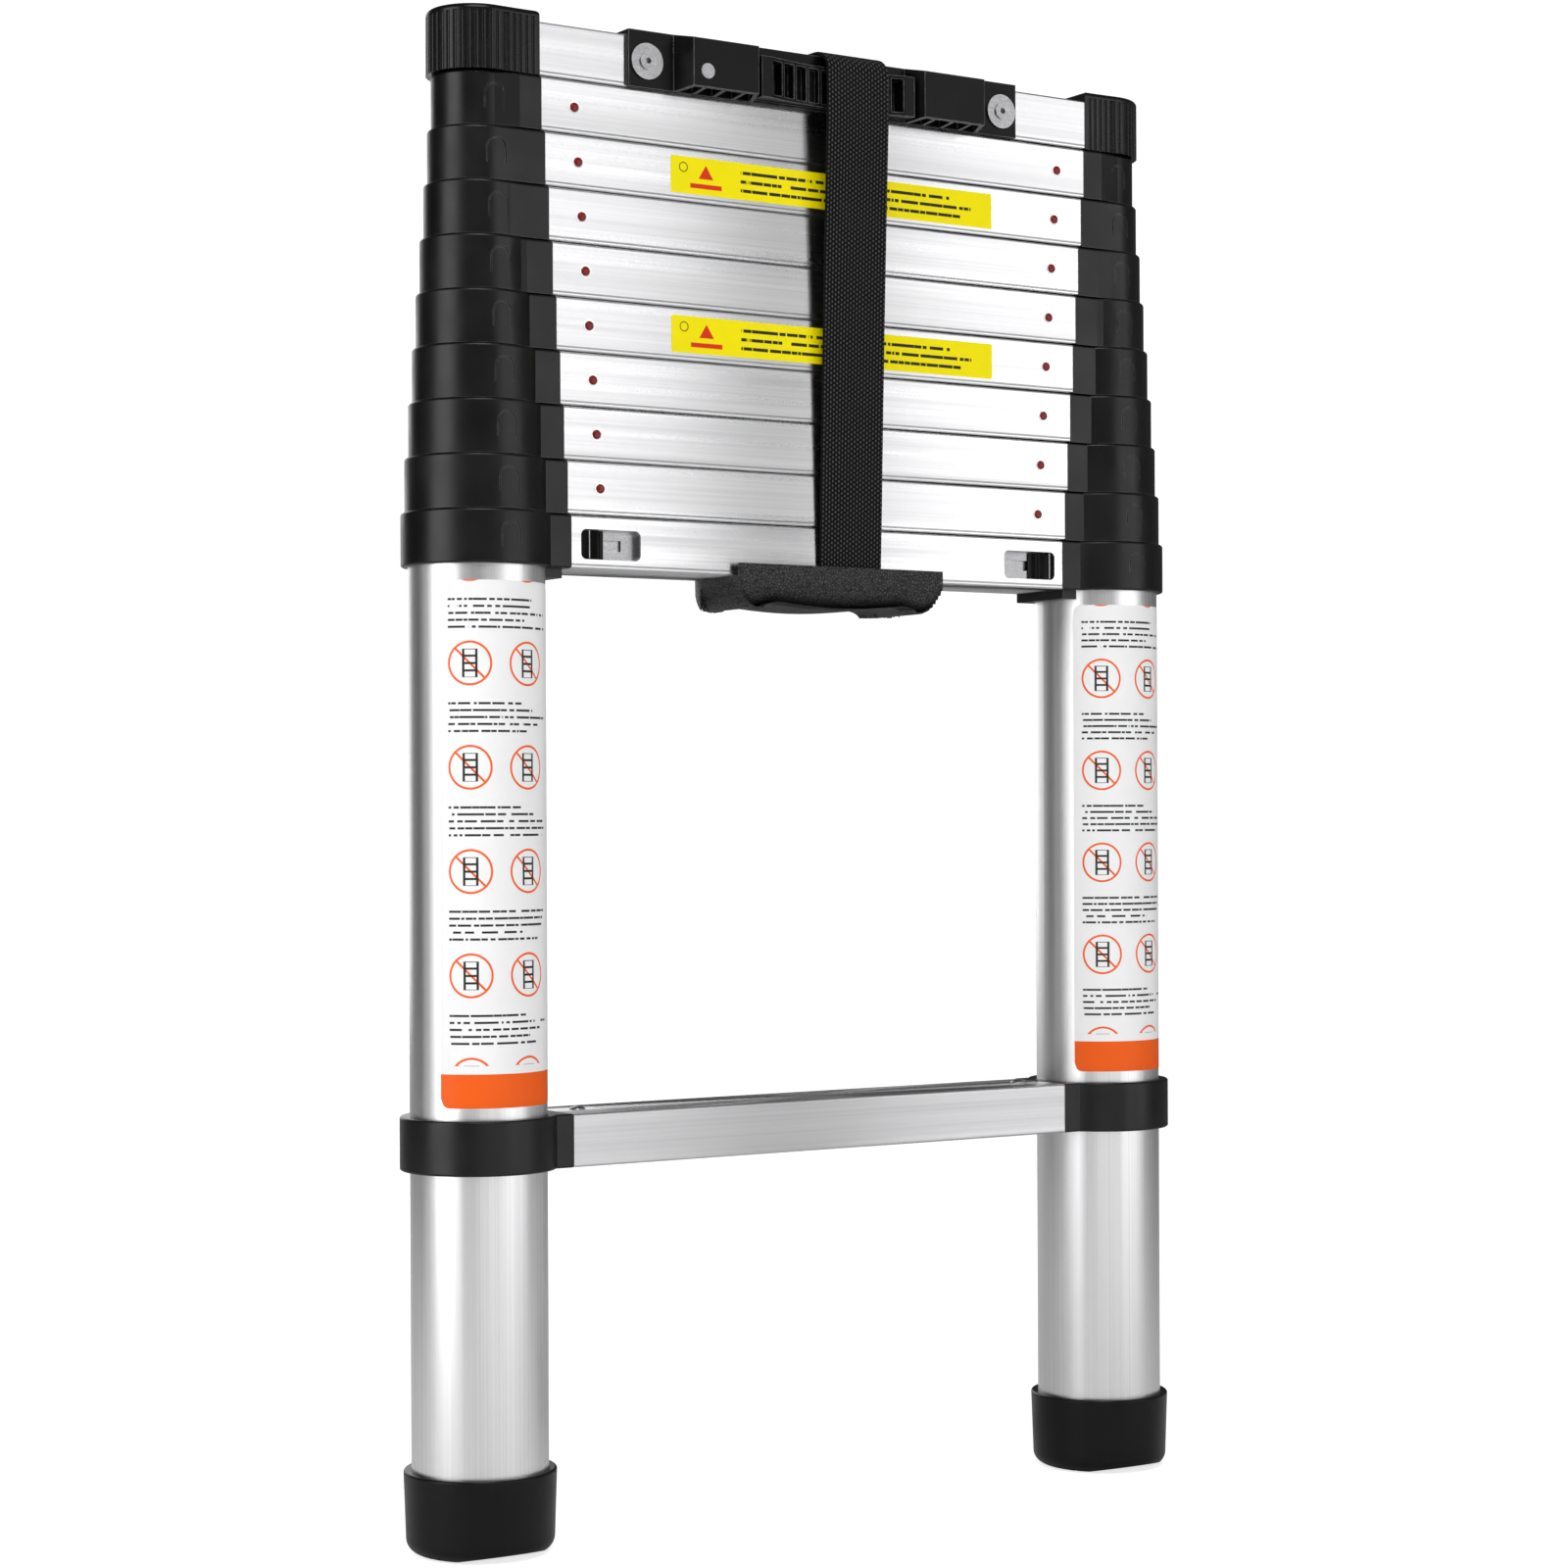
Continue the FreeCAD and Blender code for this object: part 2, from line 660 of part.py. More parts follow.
def rounded_slot(name, grow, front, back):
    """A block with rounded corners in the outline of the lever slot, grown by a wall."""
    half = f"({SLOT_HALF} + {grow})"
    corner = f"(slot_corner + {grow})"
    near, far = f"({LEFT} + {SLOT_START} - {grow})", f"({LEFT} + {SLOT_START} + slot_length + {grow})"
    low, high = f"({SLOT_HEIGHT} - {half})", f"({SLOT_HEIGHT} + {half})"
    across = (f"({near} + {corner})", f"({far} - {corner})")
    upright = (f"({low} + {corner})", f"({high} - {corner})")
    wide = box(f"{name}_wide", (near, far), (front, back), upright)
    tall = box(f"{name}_tall", across, (front, back), (low, high))
    corners = [
        cylinder(f"{name}_corner_{count}", corner, f"{back} - {front}", x, front, z, "y")
        for count, (x, z) in enumerate((x, z) for x in across for z in upright)
    ]
    return fuse(name, wide, tall, *corners)


def lever_tray():
    """A shallow steel dish behind the slot, with a slit for the lever's stem."""
    wall_inside = f"(-{RUNG_FACE} + rung_wall)"
    floor = f"(-{TRAY_FLOOR})"
    back = f"({floor} + tray_wall)"
    dish = rounded_slot("tray_dish", "tray_wall", wall_inside, back)
    hollow = rounded_slot("tray_hollow", "0", f"({wall_inside} - overcut)", floor)
    stem_half = "(stem_side / 2 + lever_gap)"
    stem_x = f"({LEFT} + {STEM_MIDDLE})"
    slit = box("tray_slit", (f"({stem_x} - {stem_half})", f"({stem_x} + {stem_half} + lever_travel)"),
               (f"({floor} - overcut)", f"({back} + overcut)"),
               (f"({SLOT_HEIGHT} - {stem_half})", f"({SLOT_HEIGHT} + {stem_half})"))
    return cut("lever_tray", dish, hollow, slit)


def lever():
    """The left thumb lever with the stem that reaches the lock pin's block."""
    near = f"({LEFT} + {SLOT_START})"
    far = f"({near} + lever_gap + lever_length)"
    front = f"(-{RUNG_FACE} - lever_proud)"
    floor = f"(-{TRAY_FLOOR} - lever_gap)"
    whole = rounded_slot("lever_outline", "(-lever_gap)", front, floor)
    span = (f"({SLOT_HEIGHT} - {SLOT_HALF})", f"({SLOT_HEIGHT} + {SLOT_HALF})")
    button = common("lever_button", whole, box("lever_end", (near, far), (front, floor), span))
    scoop = cylinder("lever_scoop", "thumb_scoop", f"{span[1]} - {span[0]}",
                     f"{far} + thumb_scoop - scoop_depth", front, span[0])
    stem_half = "(stem_side / 2)"
    stem_x = f"({LEFT} + {STEM_MIDDLE})"
    stem = box("lever_stem", (f"({stem_x} - {stem_half})", f"({stem_x} + {stem_half})"),
               (floor, "(-steel_block / 2)"),
               (f"({SLOT_HEIGHT} - {stem_half})", f"({SLOT_HEIGHT} + {stem_half})"))
    return fuse("lever", cut("lever_scooped", button, scoop), stem)


def lever_pin():
    """
    The left pin that the lever draws out of the first sliding tube, on a steel block that
    carries a leg and a strip. The strip slides behind the tray and keeps its slit covered.
    """
    height = f"({rung_bottom(0)} + {LOCK_HEIGHT})"
    tip = f"({LEFT} + {tube_radius(1)} + pin_gap)"
    middle = f"({LEFT} + {STEM_MIDDLE})"
    side = "(steel_block / 2)"
    block = box("lever_block", (f"({middle} - {side})", f"({middle} + {side})"), (f"(-{side})", side),
                (f"({height} - {side})", f"({height} + {side})"))
    pin = cylinder("lever_pin_rod", "pin_radius", f"{middle} - {tip}", tip, "0", height, "x")
    stem_half = "(stem_side / 2)"
    front = f"(-{TRAY_FLOOR} + tray_wall + lever_gap)"
    back = f"({front} + shutter_wall)"
    strip_half = f"({stem_half} + lever_gap + shutter_margin)"
    strip_end = f"({middle} + {stem_half} + lever_gap + lever_travel + shutter_margin)"
    strip = box("shutter_strip", (f"({middle} - shutter_near)", strip_end), (front, back),
                (f"({SLOT_HEIGHT} - {strip_half})", f"({SLOT_HEIGHT} + {strip_half})"))
    stem_room = box("shutter_hole", (f"({middle} - {stem_half})", f"({middle} + {stem_half})"), (front, back),
                    (f"({SLOT_HEIGHT} - {stem_half})", f"({SLOT_HEIGHT} + {stem_half})"))
    leg = box("shutter_leg", (f"({middle} + {stem_half})", f"({middle} + {stem_half} + shutter_wall)"),
              (front, f"(-{side})"), (f"({SLOT_HEIGHT} - {stem_half})", f"({SLOT_HEIGHT} + {stem_half})"))
    return fuse("lever_pin", block, pin, cut("shutter", strip, stem_room), leg)


def guard_plate():
    """The small plate under the neck of the left lever collar."""
    low = f"({rung_bottom(0)} - guard_thickness)"
    guard_end = f"({LEFT} + base_radius + guard_reach)"
    plate = box("guard_slab", (LEFT, guard_end), ("(-guard_front)", "guard_back"),
                (low, rung_bottom(0)))
    bore_cutter = cylinder("guard_bore", "base_radius", "guard_thickness", LEFT, "0", low)
    outer = cut("guard_cut", plate, bore_cutter)
    boss = cylinder("guard_boss", "guard_thickness / 2", "guard_front / 3",
                    f"{guard_end} - guard_thickness / 2", "-guard_front",
                    f"{low} + guard_thickness / 2", "y")
    return fuse("guard_plate", outer, boss)


# ---- feet ----------------------------------------------------------------------------------

def foot():
    """The left rubber foot: a boot round the base tube, its sole bevelled at the front."""
    body = new_body("foot", LEFT, "0", "0")
    profile = outline(
        sketch(body, "foot_profile", "XZ_Plane"),
        ("0", "0"), ("base_radius + foot_low_wall", "0"), (FOOT_TOP_RADIUS, "foot_height"),
        ("base_radius", "foot_height"), ("base_radius", "foot_floor"), ("0", "foot_floor"),
    )
    boot = body.newObject("PartDesign::Revolution", "foot_boot")
    boot.Profile = profile
    boot.ReferenceAxis = (profile, ["V_Axis"])
    boot.Angle = 360
    height, widest = value("foot_height"), value(FOOT_TOP_RADIUS)

    def top_rim(edge):
        return at_height(height)(edge) and edge.BoundBox.XMax > widest - 1e-3

    rim = fillet(body, "foot_rim", boot, "foot_edge", top_rim)
    rounded = fillet(body, "foot_hem", rim, "foot_round", at_height(0))
    toe = outline(
        sketch(body, "foot_toe", "YZ_Plane"),
        ("-sole_front", "0"), (f"-2 * {FOOT_TOP_RADIUS}", "-overcut"), (f"-{FOOT_TOP_RADIUS}", "sole_bevel"),
    )
    pocket(body, "foot_bevel", toe, f"3 * {FOOT_TOP_RADIUS}", both_ways=True)
    groove = rectangle(sketch(body, "foot_groove", "YZ_Plane"),
                       "-sole_front + sole_groove_pitch / 2",
                       "-sole_front + sole_groove_pitch / 2 + sole_groove",
                       "-overcut", "sole_groove_depth")
    first = pocket(body, "foot_first_groove", groove, f"3 * {FOOT_TOP_RADIUS}", both_ways=True)
    row(body, "foot_grooves", first, "Y_Axis", "sole_groove_pitch", "sole_grooves")
    return body


# ---- top bracket ---------------------------------------------------------------------------

BRACKET_LOW = f"({rung_bottom(SECTIONS)})"
BRACKET_HIGH = f"({rung_bottom(SECTIONS)} + {RUNG_HEIGHT} + bracket_lip)"
BLOCK_FACE = f"({PLATE_FACE} + block_reach)"


def wedge(name, wall, face, mouth):
    """The tapered solid of the left block, drawn in by a wall and reaching down past its mouth."""
    item = doc.addObject("Part::Wedge", name)
    sizes = {
        "Xmin": f"-block_far + block_taper + {wall}",
        "Xmax": f"-block_near - block_taper - {wall}",
        "X2min": f"-block_far + {wall}",
        "X2max": f"-block_near - {wall}",
        "Ymin": f"-{face}",
        "Ymax": f"-{PLATE_FACE}",
        "Zmin": f"{BRACKET_LOW} + block_rise - {mouth}",
        "Zmax": f"{BRACKET_HIGH} - block_drop - {wall}",
        "Z2min": f"{BRACKET_LOW} - {mouth}",
        "Z2max": f"{BRACKET_HIGH} - {wall}",
    }
    for side, formula in sizes.items():
        bind(item, side, formula)
    return item


def wall_block():
    """The left hollow block that keeps the ladder's head off a wall, open below, with ribs."""
    solid = wedge("block_solid", "0", BLOCK_FACE, "0")
    room = wedge("block_room", "block_wall", f"({BLOCK_FACE} - block_wall)", "block_wall")
    inside = "(block_far - block_near)"
    count = int(value("block_ribs")) + 1
    cells = []
    for step in range(count):
        near = f"(-block_far + {inside} * {step} / {count} + rest_rib / 2)"
        far = f"(-block_far + {inside} * {step + 1} / {count} - rest_rib / 2)"
        slab = box(f"block_slab_{step}", (near, far), (f"(-{BLOCK_FACE})", f"(-{PLATE_FACE})"),
                   (f"({BRACKET_LOW} - 2 * block_wall)", BRACKET_HIGH))
        cells.append(common(f"block_cell_{step}", room, slab))
    return cut("wall_block", solid, *cells)


def pole_rest():
    """The hollowed middle of the bracket, cut into ribs, which lies against a pole."""
    reach = f"({PLATE_FACE} + rest_reach)"
    high = f"({BRACKET_HIGH} - rest_drop)"
    solid = box("rest_solid", ("(-block_near)", "block_near"), (f"(-{reach})", f"(-{PLATE_FACE})"),
                (f"({BRACKET_LOW} + block_rise)", high))
    hollow = cylinder("rest_round", "rest_hollow", "3 * closed_pitch", "0",
                      f"-({PLATE_FACE} + rest_middle + rest_hollow)", f"{BRACKET_LOW} - closed_pitch")
    cells = []
    pitch = "(rest_cell + rest_rib)"
    count = int(value(f"block_near / {pitch}"))
    for step in range(-count, count):
        low = f"({step} * {pitch} + rest_rib / 2)"
        cells.append(box(f"rest_cell_{step + count}", (low, f"({low} + rest_cell)"),
                         (f"(-{reach} - overcut)", f"(-{PLATE_FACE})"),
                         (f"({BRACKET_LOW} + block_rise + rest_rib)", f"({high} - rest_rib)")))
    return cut("pole_rest", solid, hollow, *cells)


def top_bracket():
    half = "bracket_half"
    plate = box("bracket_face", (f"(-{half})", half), (f"(-{PLATE_FACE})", f"(-{RUNG_FACE})"),
                (BRACKET_LOW, BRACKET_HIGH))
    lip = box("bracket_top", (f"(-{half})", half), (f"(-{RUNG_FACE})", RUNG_FACE),
              (f"({BRACKET_HIGH} - bracket_lip)", BRACKET_HIGH))
    block = wall_block()
    solid = fuse("bracket_solid", plate, lip, block, mirrored("wall_block_right", block), pole_rest())
    height = f"{BRACKET_LOW} + rivet_height"
    holes = [
        cylinder(f"bracket_hole_{side}", "shank_radius", "2 * bracket_plate", f"{sign}rivet_offset",
                 f"-{PLATE_FACE} - bracket_plate / 2", height, "y")
        for side, sign in (("left", "-"), ("right", ""))
    ]
    seat = cylinder("plug_seat", "plug_radius", "plug_thickness", "-plug_offset",
                    f"-{BLOCK_FACE} - plug_proud", f"{BRACKET_LOW} + plug_height", "y")
    return cut("top_bracket", solid, *holes, seat)


def bracket_rivet():
    """The left rivet: a broad washer, a hub with a blind hole, and a shank through the rung's wall."""
    height = f"({BRACKET_LOW} + rivet_height)"
    x = "(-rivet_offset)"
    washer = cylinder("rivet_washer", "washer_radius", "washer_thickness", x,
                      f"-{PLATE_FACE} - washer_thickness", height, "y")
    hub = cylinder("rivet_hub", "hub_radius", "hub_height", x, f"-{PLATE_FACE} - hub_height", height, "y")
    shank = cylinder("rivet_shank", "shank_radius", "shank_length", x, f"-{PLATE_FACE}", height, "y")
    blind = cylinder("rivet_blind", "hub_bore", "hub_height", x, f"-{PLATE_FACE} - hub_height", height, "y")
    return cut("bracket_rivet", fuse("rivet_solid", washer, hub, shank), blind)


# ---- carry handle and strap ------------------------------------------------------------------

HANDLE_INSIDE = f"({RUNG_FACE} + strap_gap + strap_thickness + handle_gap)"
STRAP_TOP = f"({BRACKET_HIGH} + strap_thickness)"
STRAP_EDGE = "(strap_middle + strap_width / 2)"     # the strap's side that is furthest from the middle
REST_FACE = f"({PLATE_FACE} + rest_middle + rest_hollow - sqrt(rest_hollow^2 - {STRAP_EDGE}^2))"
STRAP_FRONT = f"({REST_FACE} + strap_gap)"          # the strap's inner face in front of the pole rest


def carry_handle():
    """A rubber saddle under the lever rung, with a pocket each side for the strap's ends."""
    body = new_body("handle_body", "handle_middle", "0", rung_bottom(0))
    outside = f"({HANDLE_INSIDE} + handle_wall)"
    section = outline(
        sketch(body, "handle_section", "YZ_Plane"),
        (f"-{outside}", "-handle_drop"), (outside, "-handle_drop"), (outside, "handle_top"),
        (HANDLE_INSIDE, "handle_top"), (HANDLE_INSIDE, "0"), (f"-{HANDLE_INSIDE}", "0"),
        (f"-{HANDLE_INSIDE}", "handle_top"), (f"-{outside}", "handle_top"),
    )
    saddle = pad(body, "handle_saddle", section, "handle_length", both_ways=True)
    low = value("-handle_drop")

    def under_corner(edge):
        return along_x(edge) and abs(edge.BoundBox.ZMin - low) < 1e-3

    fillet(body, "handle_grip", saddle, "handle_round", under_corner)
    return body


def carry_strap():
    """Webbing laid over the bracket, its two ends hanging down to the handle's pockets."""
    body = new_body("strap_body", "strap_middle", "0", "0")
    near = f"({RUNG_FACE} + strap_gap)"
    far = f"({near} + strap_thickness)"
    low = f"({rung_bottom(0)} + strap_start)"
    line = outline(
        sketch(body, "strap_line", "YZ_Plane"),
        (f"-{near}", low),
        (f"-{STRAP_FRONT}", BRACKET_LOW),
        (f"-{STRAP_FRONT}", f"{BRACKET_HIGH} - strap_fold"),
        (f"strap_fold - {STRAP_FRONT}", BRACKET_HIGH),
        (near, BRACKET_HIGH),
        (near, low),
        (far, low),
        (far, f"{STRAP_TOP} - strap_back_fold"),
        (f"{far} - strap_back_fold", STRAP_TOP),
        (f"strap_fold - {STRAP_FRONT}", STRAP_TOP),
        (f"-{STRAP_FRONT} - strap_thickness", f"{BRACKET_HIGH} - strap_fold"),
        (f"-{STRAP_FRONT} - strap_thickness", BRACKET_LOW),
        (f"-{far}", low),
    )
    pad(body, "strap_webbing", line, "strap_width", both_ways=True)
    return body


# ---- the assembly ----------------------------------------------------------------------------

def build_base():
    left_foot = foot()
    node(left_foot, "foot_left")
    node(mirrored("foot_right", left_foot), "foot_right")
    left_tube = stile_tube(0)
    node(left_tube, "base_tube_left")
    node(mirrored("tube_0_right", left_tube), "base_tube_right")
    left_clamp = clamp()
    node(left_clamp, "clamp_left")
    node(mirrored("clamp_right", left_clamp), "clamp_right")
    node(rung("bottom_rung", BOTTOM_RUNG_END, "bottom_rung_bottom", "X_Axis"), "bottom_rung")
    dome = doc.addObject("Part::Ellipsoid", "tread_rivet_dome")
    bind(dome, "Radius1", "tread_rivet_height")
    bind(dome, "Radius2", "tread_rivet_radius")
    bind(dome, "Radius3", "tread_rivet_radius")
    dome.Angle1 = 0
    dome.Angle2 = 90
    place(dome, f"-{TREAD_RIVET}", "0", f"bottom_rung_bottom + {RUNG_HEIGHT}")
    node(both_sides("tread_rivets", dome), "bottom_rung_rivets")
    left_collar = collar(0)
    node(left_collar, "lever_collar_left")
    node(mirrored("collar_0_right", left_collar), "lever_collar_right")
    slot_cutter = rounded_slot("lever_slot", "0", f"(-{RUNG_FACE} - overcut)",
                               f"(-{RUNG_FACE} + rung_wall + overcut)")
    body = rung("lever_rung_body", rung_end(0), rung_bottom(0))
    node(cut("lever_rung", body, slot_cutter, mirrored("lever_slot_right", slot_cutter)), "lever_rung")
    node(both_sides("guard_plates", guard_plate()), "guard_plates")
    node(both_sides("lever_trays", lever_tray()), "lever_trays")
    node(carry_handle(), "carry_handle")


def build_levers():
    left_lever, left_pin = lever(), lever_pin()
    node(left_lever, "lever_left")
    node(mirrored("lever_right", left_lever), "lever_right")
    node(left_pin, "lever_pin_left")
    node(mirrored("lever_pin_right", left_pin), "lever_pin_right")


def build_section(section):
    """One sliding rung with its two tubes, collars, bushes and locks."""
    label = f"section_{section}"
    node(both_sides(f"{label}_tubes", stile_tube(section)), f"{label}_tubes")
    node(both_sides(f"{label}_collars", collar(section), guide_bush(section)), f"{label}_collars")
    body = rung(f"rung_{section}_body", rung_end(section), rung_bottom(section))
    node(cut(f"rung_{section}", body, *lock_windows(f"rung_{section}", section)), f"{label}_rung")
    node(both_sides(f"{label}_locks", *lock(section)), f"{label}_locks")


def build_top():
    node(both_sides("top_tubes", stile_tube(SECTIONS)), "top_tubes")
    node(both_sides("top_bushes", guide_bush(SECTIONS)), "top_bushes")
    left_cap = cap()
    node(left_cap, "cap_left")
    node(mirrored("cap_right", left_cap), "cap_right")
    body = rung("top_rung_body", rung_end(SECTIONS), rung_bottom(SECTIONS))
    shank = cylinder("top_rung_hole", "shank_radius", "2 * rung_wall", "-rivet_offset",
                     f"-{RUNG_FACE} - rung_wall / 2", f"{BRACKET_LOW} + rivet_height", "y")
    node(cut("top_rung", body, shank, mirrored("top_rung_hole_right", shank)), "top_rung")
    node(top_bracket(), "top_bracket")
    plug = cylinder("block_plug", "plug_radius", "plug_thickness", "-plug_offset",
                    f"-{BLOCK_FACE} - plug_proud", f"{BRACKET_LOW} + plug_height", "y")
    rivet = bracket_rivet()
    node(group("bracket_rivets", rivet, mirrored("bracket_rivet_right", rivet), plug), "bracket_rivets")
    node(carry_strap(), "carry_strap")


def check_document():
    """Stops before anything is written if an object failed or a shape is bad."""
    for item in doc.Objects:
        if "Invalid" in item.State or "Error" in item.State:
            raise RuntimeError(f"{item.Name} failed: {item.State}")
    for item in nodes:
        if item.Shape.isNull() or not item.Shape.isValid() or not item.Shape.Solids:
            raise RuntimeError(f"{item.Label} has no valid solid")


build_base()
build_levers()
for section in range(1, SECTIONS):
    build_section(section)
build_top()
doc.recompute()
check_document()

os.makedirs("parts", exist_ok=True)
for item in nodes:
    item.Shape.exportStep(f"parts/{item.Label}.step")
    print(f"{item.Label}: {len(item.Shape.Solids)} solids, {item.Shape.Volume / 1000:.2f} cm3")
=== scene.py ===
"""Looks of a closed telescoping ladder: webbing strap, carry grip, lock indicators, labels and finishes."""
import math

import bpy
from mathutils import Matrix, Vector


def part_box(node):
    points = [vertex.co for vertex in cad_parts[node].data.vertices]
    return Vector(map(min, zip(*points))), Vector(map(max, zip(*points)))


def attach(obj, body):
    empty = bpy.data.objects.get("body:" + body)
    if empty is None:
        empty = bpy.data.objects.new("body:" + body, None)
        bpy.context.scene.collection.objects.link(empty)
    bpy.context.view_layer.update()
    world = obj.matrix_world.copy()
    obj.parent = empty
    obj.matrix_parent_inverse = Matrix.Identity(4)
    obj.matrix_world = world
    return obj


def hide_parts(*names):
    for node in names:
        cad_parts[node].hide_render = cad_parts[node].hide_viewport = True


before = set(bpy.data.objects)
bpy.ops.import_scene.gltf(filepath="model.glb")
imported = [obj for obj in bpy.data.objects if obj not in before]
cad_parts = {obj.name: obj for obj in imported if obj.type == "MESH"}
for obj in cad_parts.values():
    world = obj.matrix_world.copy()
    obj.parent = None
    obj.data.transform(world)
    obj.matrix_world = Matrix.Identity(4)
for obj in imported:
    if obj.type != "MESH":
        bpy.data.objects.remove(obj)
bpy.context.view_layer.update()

SECTIONS = 9                    # sliding sections; the last one carries the top rung
SIDES = ("left", "right")
MM = 0.001


# ---- places worked out from the frame ---------------------------------------------------------

def middle(node):
    low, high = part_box(node)
    return (low + high) / 2


rung_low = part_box("lever_rung")[0]
RUNG_FACE = rung_low.y
RUNG_BOTTOM = rung_low.z
CLOSED_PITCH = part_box("section_1_rung")[0].z - RUNG_BOTTOM
STILE = middle("base_tube_right").x
BASE_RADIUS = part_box("base_tube_right")[1].y


# ---- modelling by hand ------------------------------------------------------------------------

def start(name):
    """Names the primitive that was just added and opens it for editing."""
    piece = bpy.context.object
    piece.name = piece.data.name = name
    bpy.ops.object.transform_apply(location=True, rotation=True, scale=True)
    bpy.ops.object.mode_set(mode="EDIT")
    return piece


def clear_selection():
    if bpy.context.mode != "OBJECT":
        bpy.ops.object.mode_set(mode="OBJECT")
    bpy.ops.object.select_all(action="DESELECT")


def pick(piece, kind, wanted):
    """Selects the faces, edges or vertices of the open piece that the test accepts."""
    bpy.ops.mesh.select_mode(type=kind)
    bpy.ops.mesh.select_all(action="DESELECT")
    bpy.ops.object.mode_set(mode="OBJECT")
    mesh = piece.data
    points = mesh.vertices
    if kind == "VERT":
        for point in points:
            point.select = wanted(point.co)
    elif kind == "EDGE":
        for edge in mesh.edges:
            edge.select = wanted(points[edge.vertices[0]].co, points[edge.vertices[1]].co)
    else:
        for face in mesh.polygons:
            face.select = wanted(face.center, face.normal)
    bpy.ops.object.mode_set(mode="EDIT")


def shift(x=0.0, y=0.0, z=0.0):
    bpy.ops.transform.translate(value=(x, y, z))


def extrude(x=0.0, y=0.0, z=0.0):
    bpy.ops.mesh.extrude_region_move(TRANSFORM_OT_translate={"value": (x, y, z)})


def divide(axis, places):
    """Cuts new edge loops right round the open piece at these places along an axis."""
    for at in places:
        point, normal = Vector(), Vector()
        point[axis], normal[axis] = at, 1.0
        bpy.ops.mesh.select_all(action="SELECT")
        bpy.ops.mesh.bisect(plane_co=point, plane_no=normal)


def close(smooth_angle=35):
    """Cleans the open piece, turns its faces outwards and gives it smooth shading."""
    bpy.ops.mesh.select_all(action="SELECT")
    bpy.ops.mesh.remove_doubles(threshold=1e-6)
    bpy.ops.mesh.normals_make_consistent(inside=False)
    bpy.ops.object.mode_set(mode="OBJECT")
    smooth(smooth_angle)


def smooth(angle):
    """Smooth shading, except across edges sharper than this many degrees."""
    bpy.ops.object.shade_smooth_by_angle(angle=math.radians(angle))


def modify(piece, kind, **settings):
    """Adds a modifier with its settings and applies it."""
    bpy.context.view_layer.objects.active = piece
    modifier = piece.modifiers.new(kind.title(), kind)
    for name, value in settings.items():
        setattr(modifier, name, value)
    bpy.ops.object.modifier_apply(modifier=modifier.name)


def round_edges(piece, width, segments, sharper_than):
    """Rounds every edge sharper than this many degrees and shades across the rounding."""
    modify(piece, "BEVEL", width=width, segments=segments, limit_method="ANGLE",
           angle_limit=math.radians(sharper_than))
    smooth(sharper_than)


def finish_piece(piece, body, material):
    piece.data.materials.clear()
    piece.data.materials.append(material)
    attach(piece, body)


def copy_piece(piece, name, move=(0, 0, 0), mirror=False):
    """A copy with its own mesh, moved or mirrored to the other stile."""
    clear_selection()
    piece.select_set(True)
    bpy.context.view_layer.objects.active = piece
    bpy.ops.object.duplicate()
    twin = bpy.context.object
    twin.name = twin.data.name = name
    bpy.ops.object.mode_set(mode="EDIT")
    bpy.ops.mesh.select_all(action="SELECT")
    shift(*move)
    if mirror:
        bpy.ops.transform.mirror(constraint_axis=(True, False, False), center_override=(0, 0, 0))
        bpy.ops.mesh.flip_normals()
    bpy.ops.object.mode_set(mode="OBJECT")
    return twin


def unwrap(piece, place):
    """Writes the piece's UV map from a function of each vertex's place."""
    for old in list(piece.data.uv_layers):
        piece.data.uv_layers.remove(old)
    layer = piece.data.uv_layers.new(name="pattern")
    for loop in piece.data.loops:
        layer.data[loop.index].uv = place(piece.data.vertices[loop.vertex_index].co)


# ---- shader building --------------------------------------------------------------------------

def put(tree, kind, sockets=None, **settings):
    """A shader node with its settings, and its sockets linked or set."""
    made = tree.nodes.new(f"ShaderNode{kind}")
    for name, value in settings.items():
        setattr(made, name, value)
    for name, value in (sockets or {}).items():
        if isinstance(value, bpy.types.NodeSocket):
            tree.links.new(value, made.inputs[name])
        else:
            made.inputs[name].default_value = value
    return made


def maths(tree, operation, *values):
    return put(tree, "Math", dict(enumerate(values)), operation=operation).outputs[0]


def remap(tree, value, low, high, to_low=0.0, to_high=1.0):
    sockets = {"Value": value, "From Min": low, "From Max": high, "To Min": to_low, "To Max": to_high}
    return put(tree, "MapRange", sockets).outputs[0]


def mix_colour(tree, factor, first, second):
    made = put(tree, "Mix", {"Factor": factor}, data_type="RGBA")
    for socket, value in ((made.inputs[6], first), (made.inputs[7], second)):
        if isinstance(value, bpy.types.NodeSocket):
            tree.links.new(value, socket)
        else:
            socket.default_value = (*value, 1.0)
    return made.outputs[2]


def stretched(tree, scale, source="Object"):
    """Object or UV coordinates scaled on each axis, for grain that runs one way."""
    coordinates = put(tree, "TexCoord").outputs[source]
    return put(tree, "Mapping", {"Vector": coordinates, "Scale": scale}).outputs[0]


def noise(tree, vector, scale, detail=2.0):
    return put(tree, "TexNoise", {"Vector": vector, "Scale": scale, "Detail": detail}).outputs["Fac"]


def new_group(name, inputs, outputs):
    tree = bpy.data.node_groups.new(name, "ShaderNodeTree")
    for label, default in inputs.items():
        kind = "NodeSocketVector" if isinstance(default, tuple) else "NodeSocketFloat"
        entry = tree.interface.new_socket(label, in_out="INPUT", socket_type=kind)
        entry.default_value = default
    for label in outputs:
        tree.interface.new_socket(label, in_out="OUTPUT", socket_type="NodeSocketFloat")
    given = tree.nodes.new("NodeGroupInput").outputs
    result = tree.nodes.new("NodeGroupOutput").inputs
    return tree, given, result


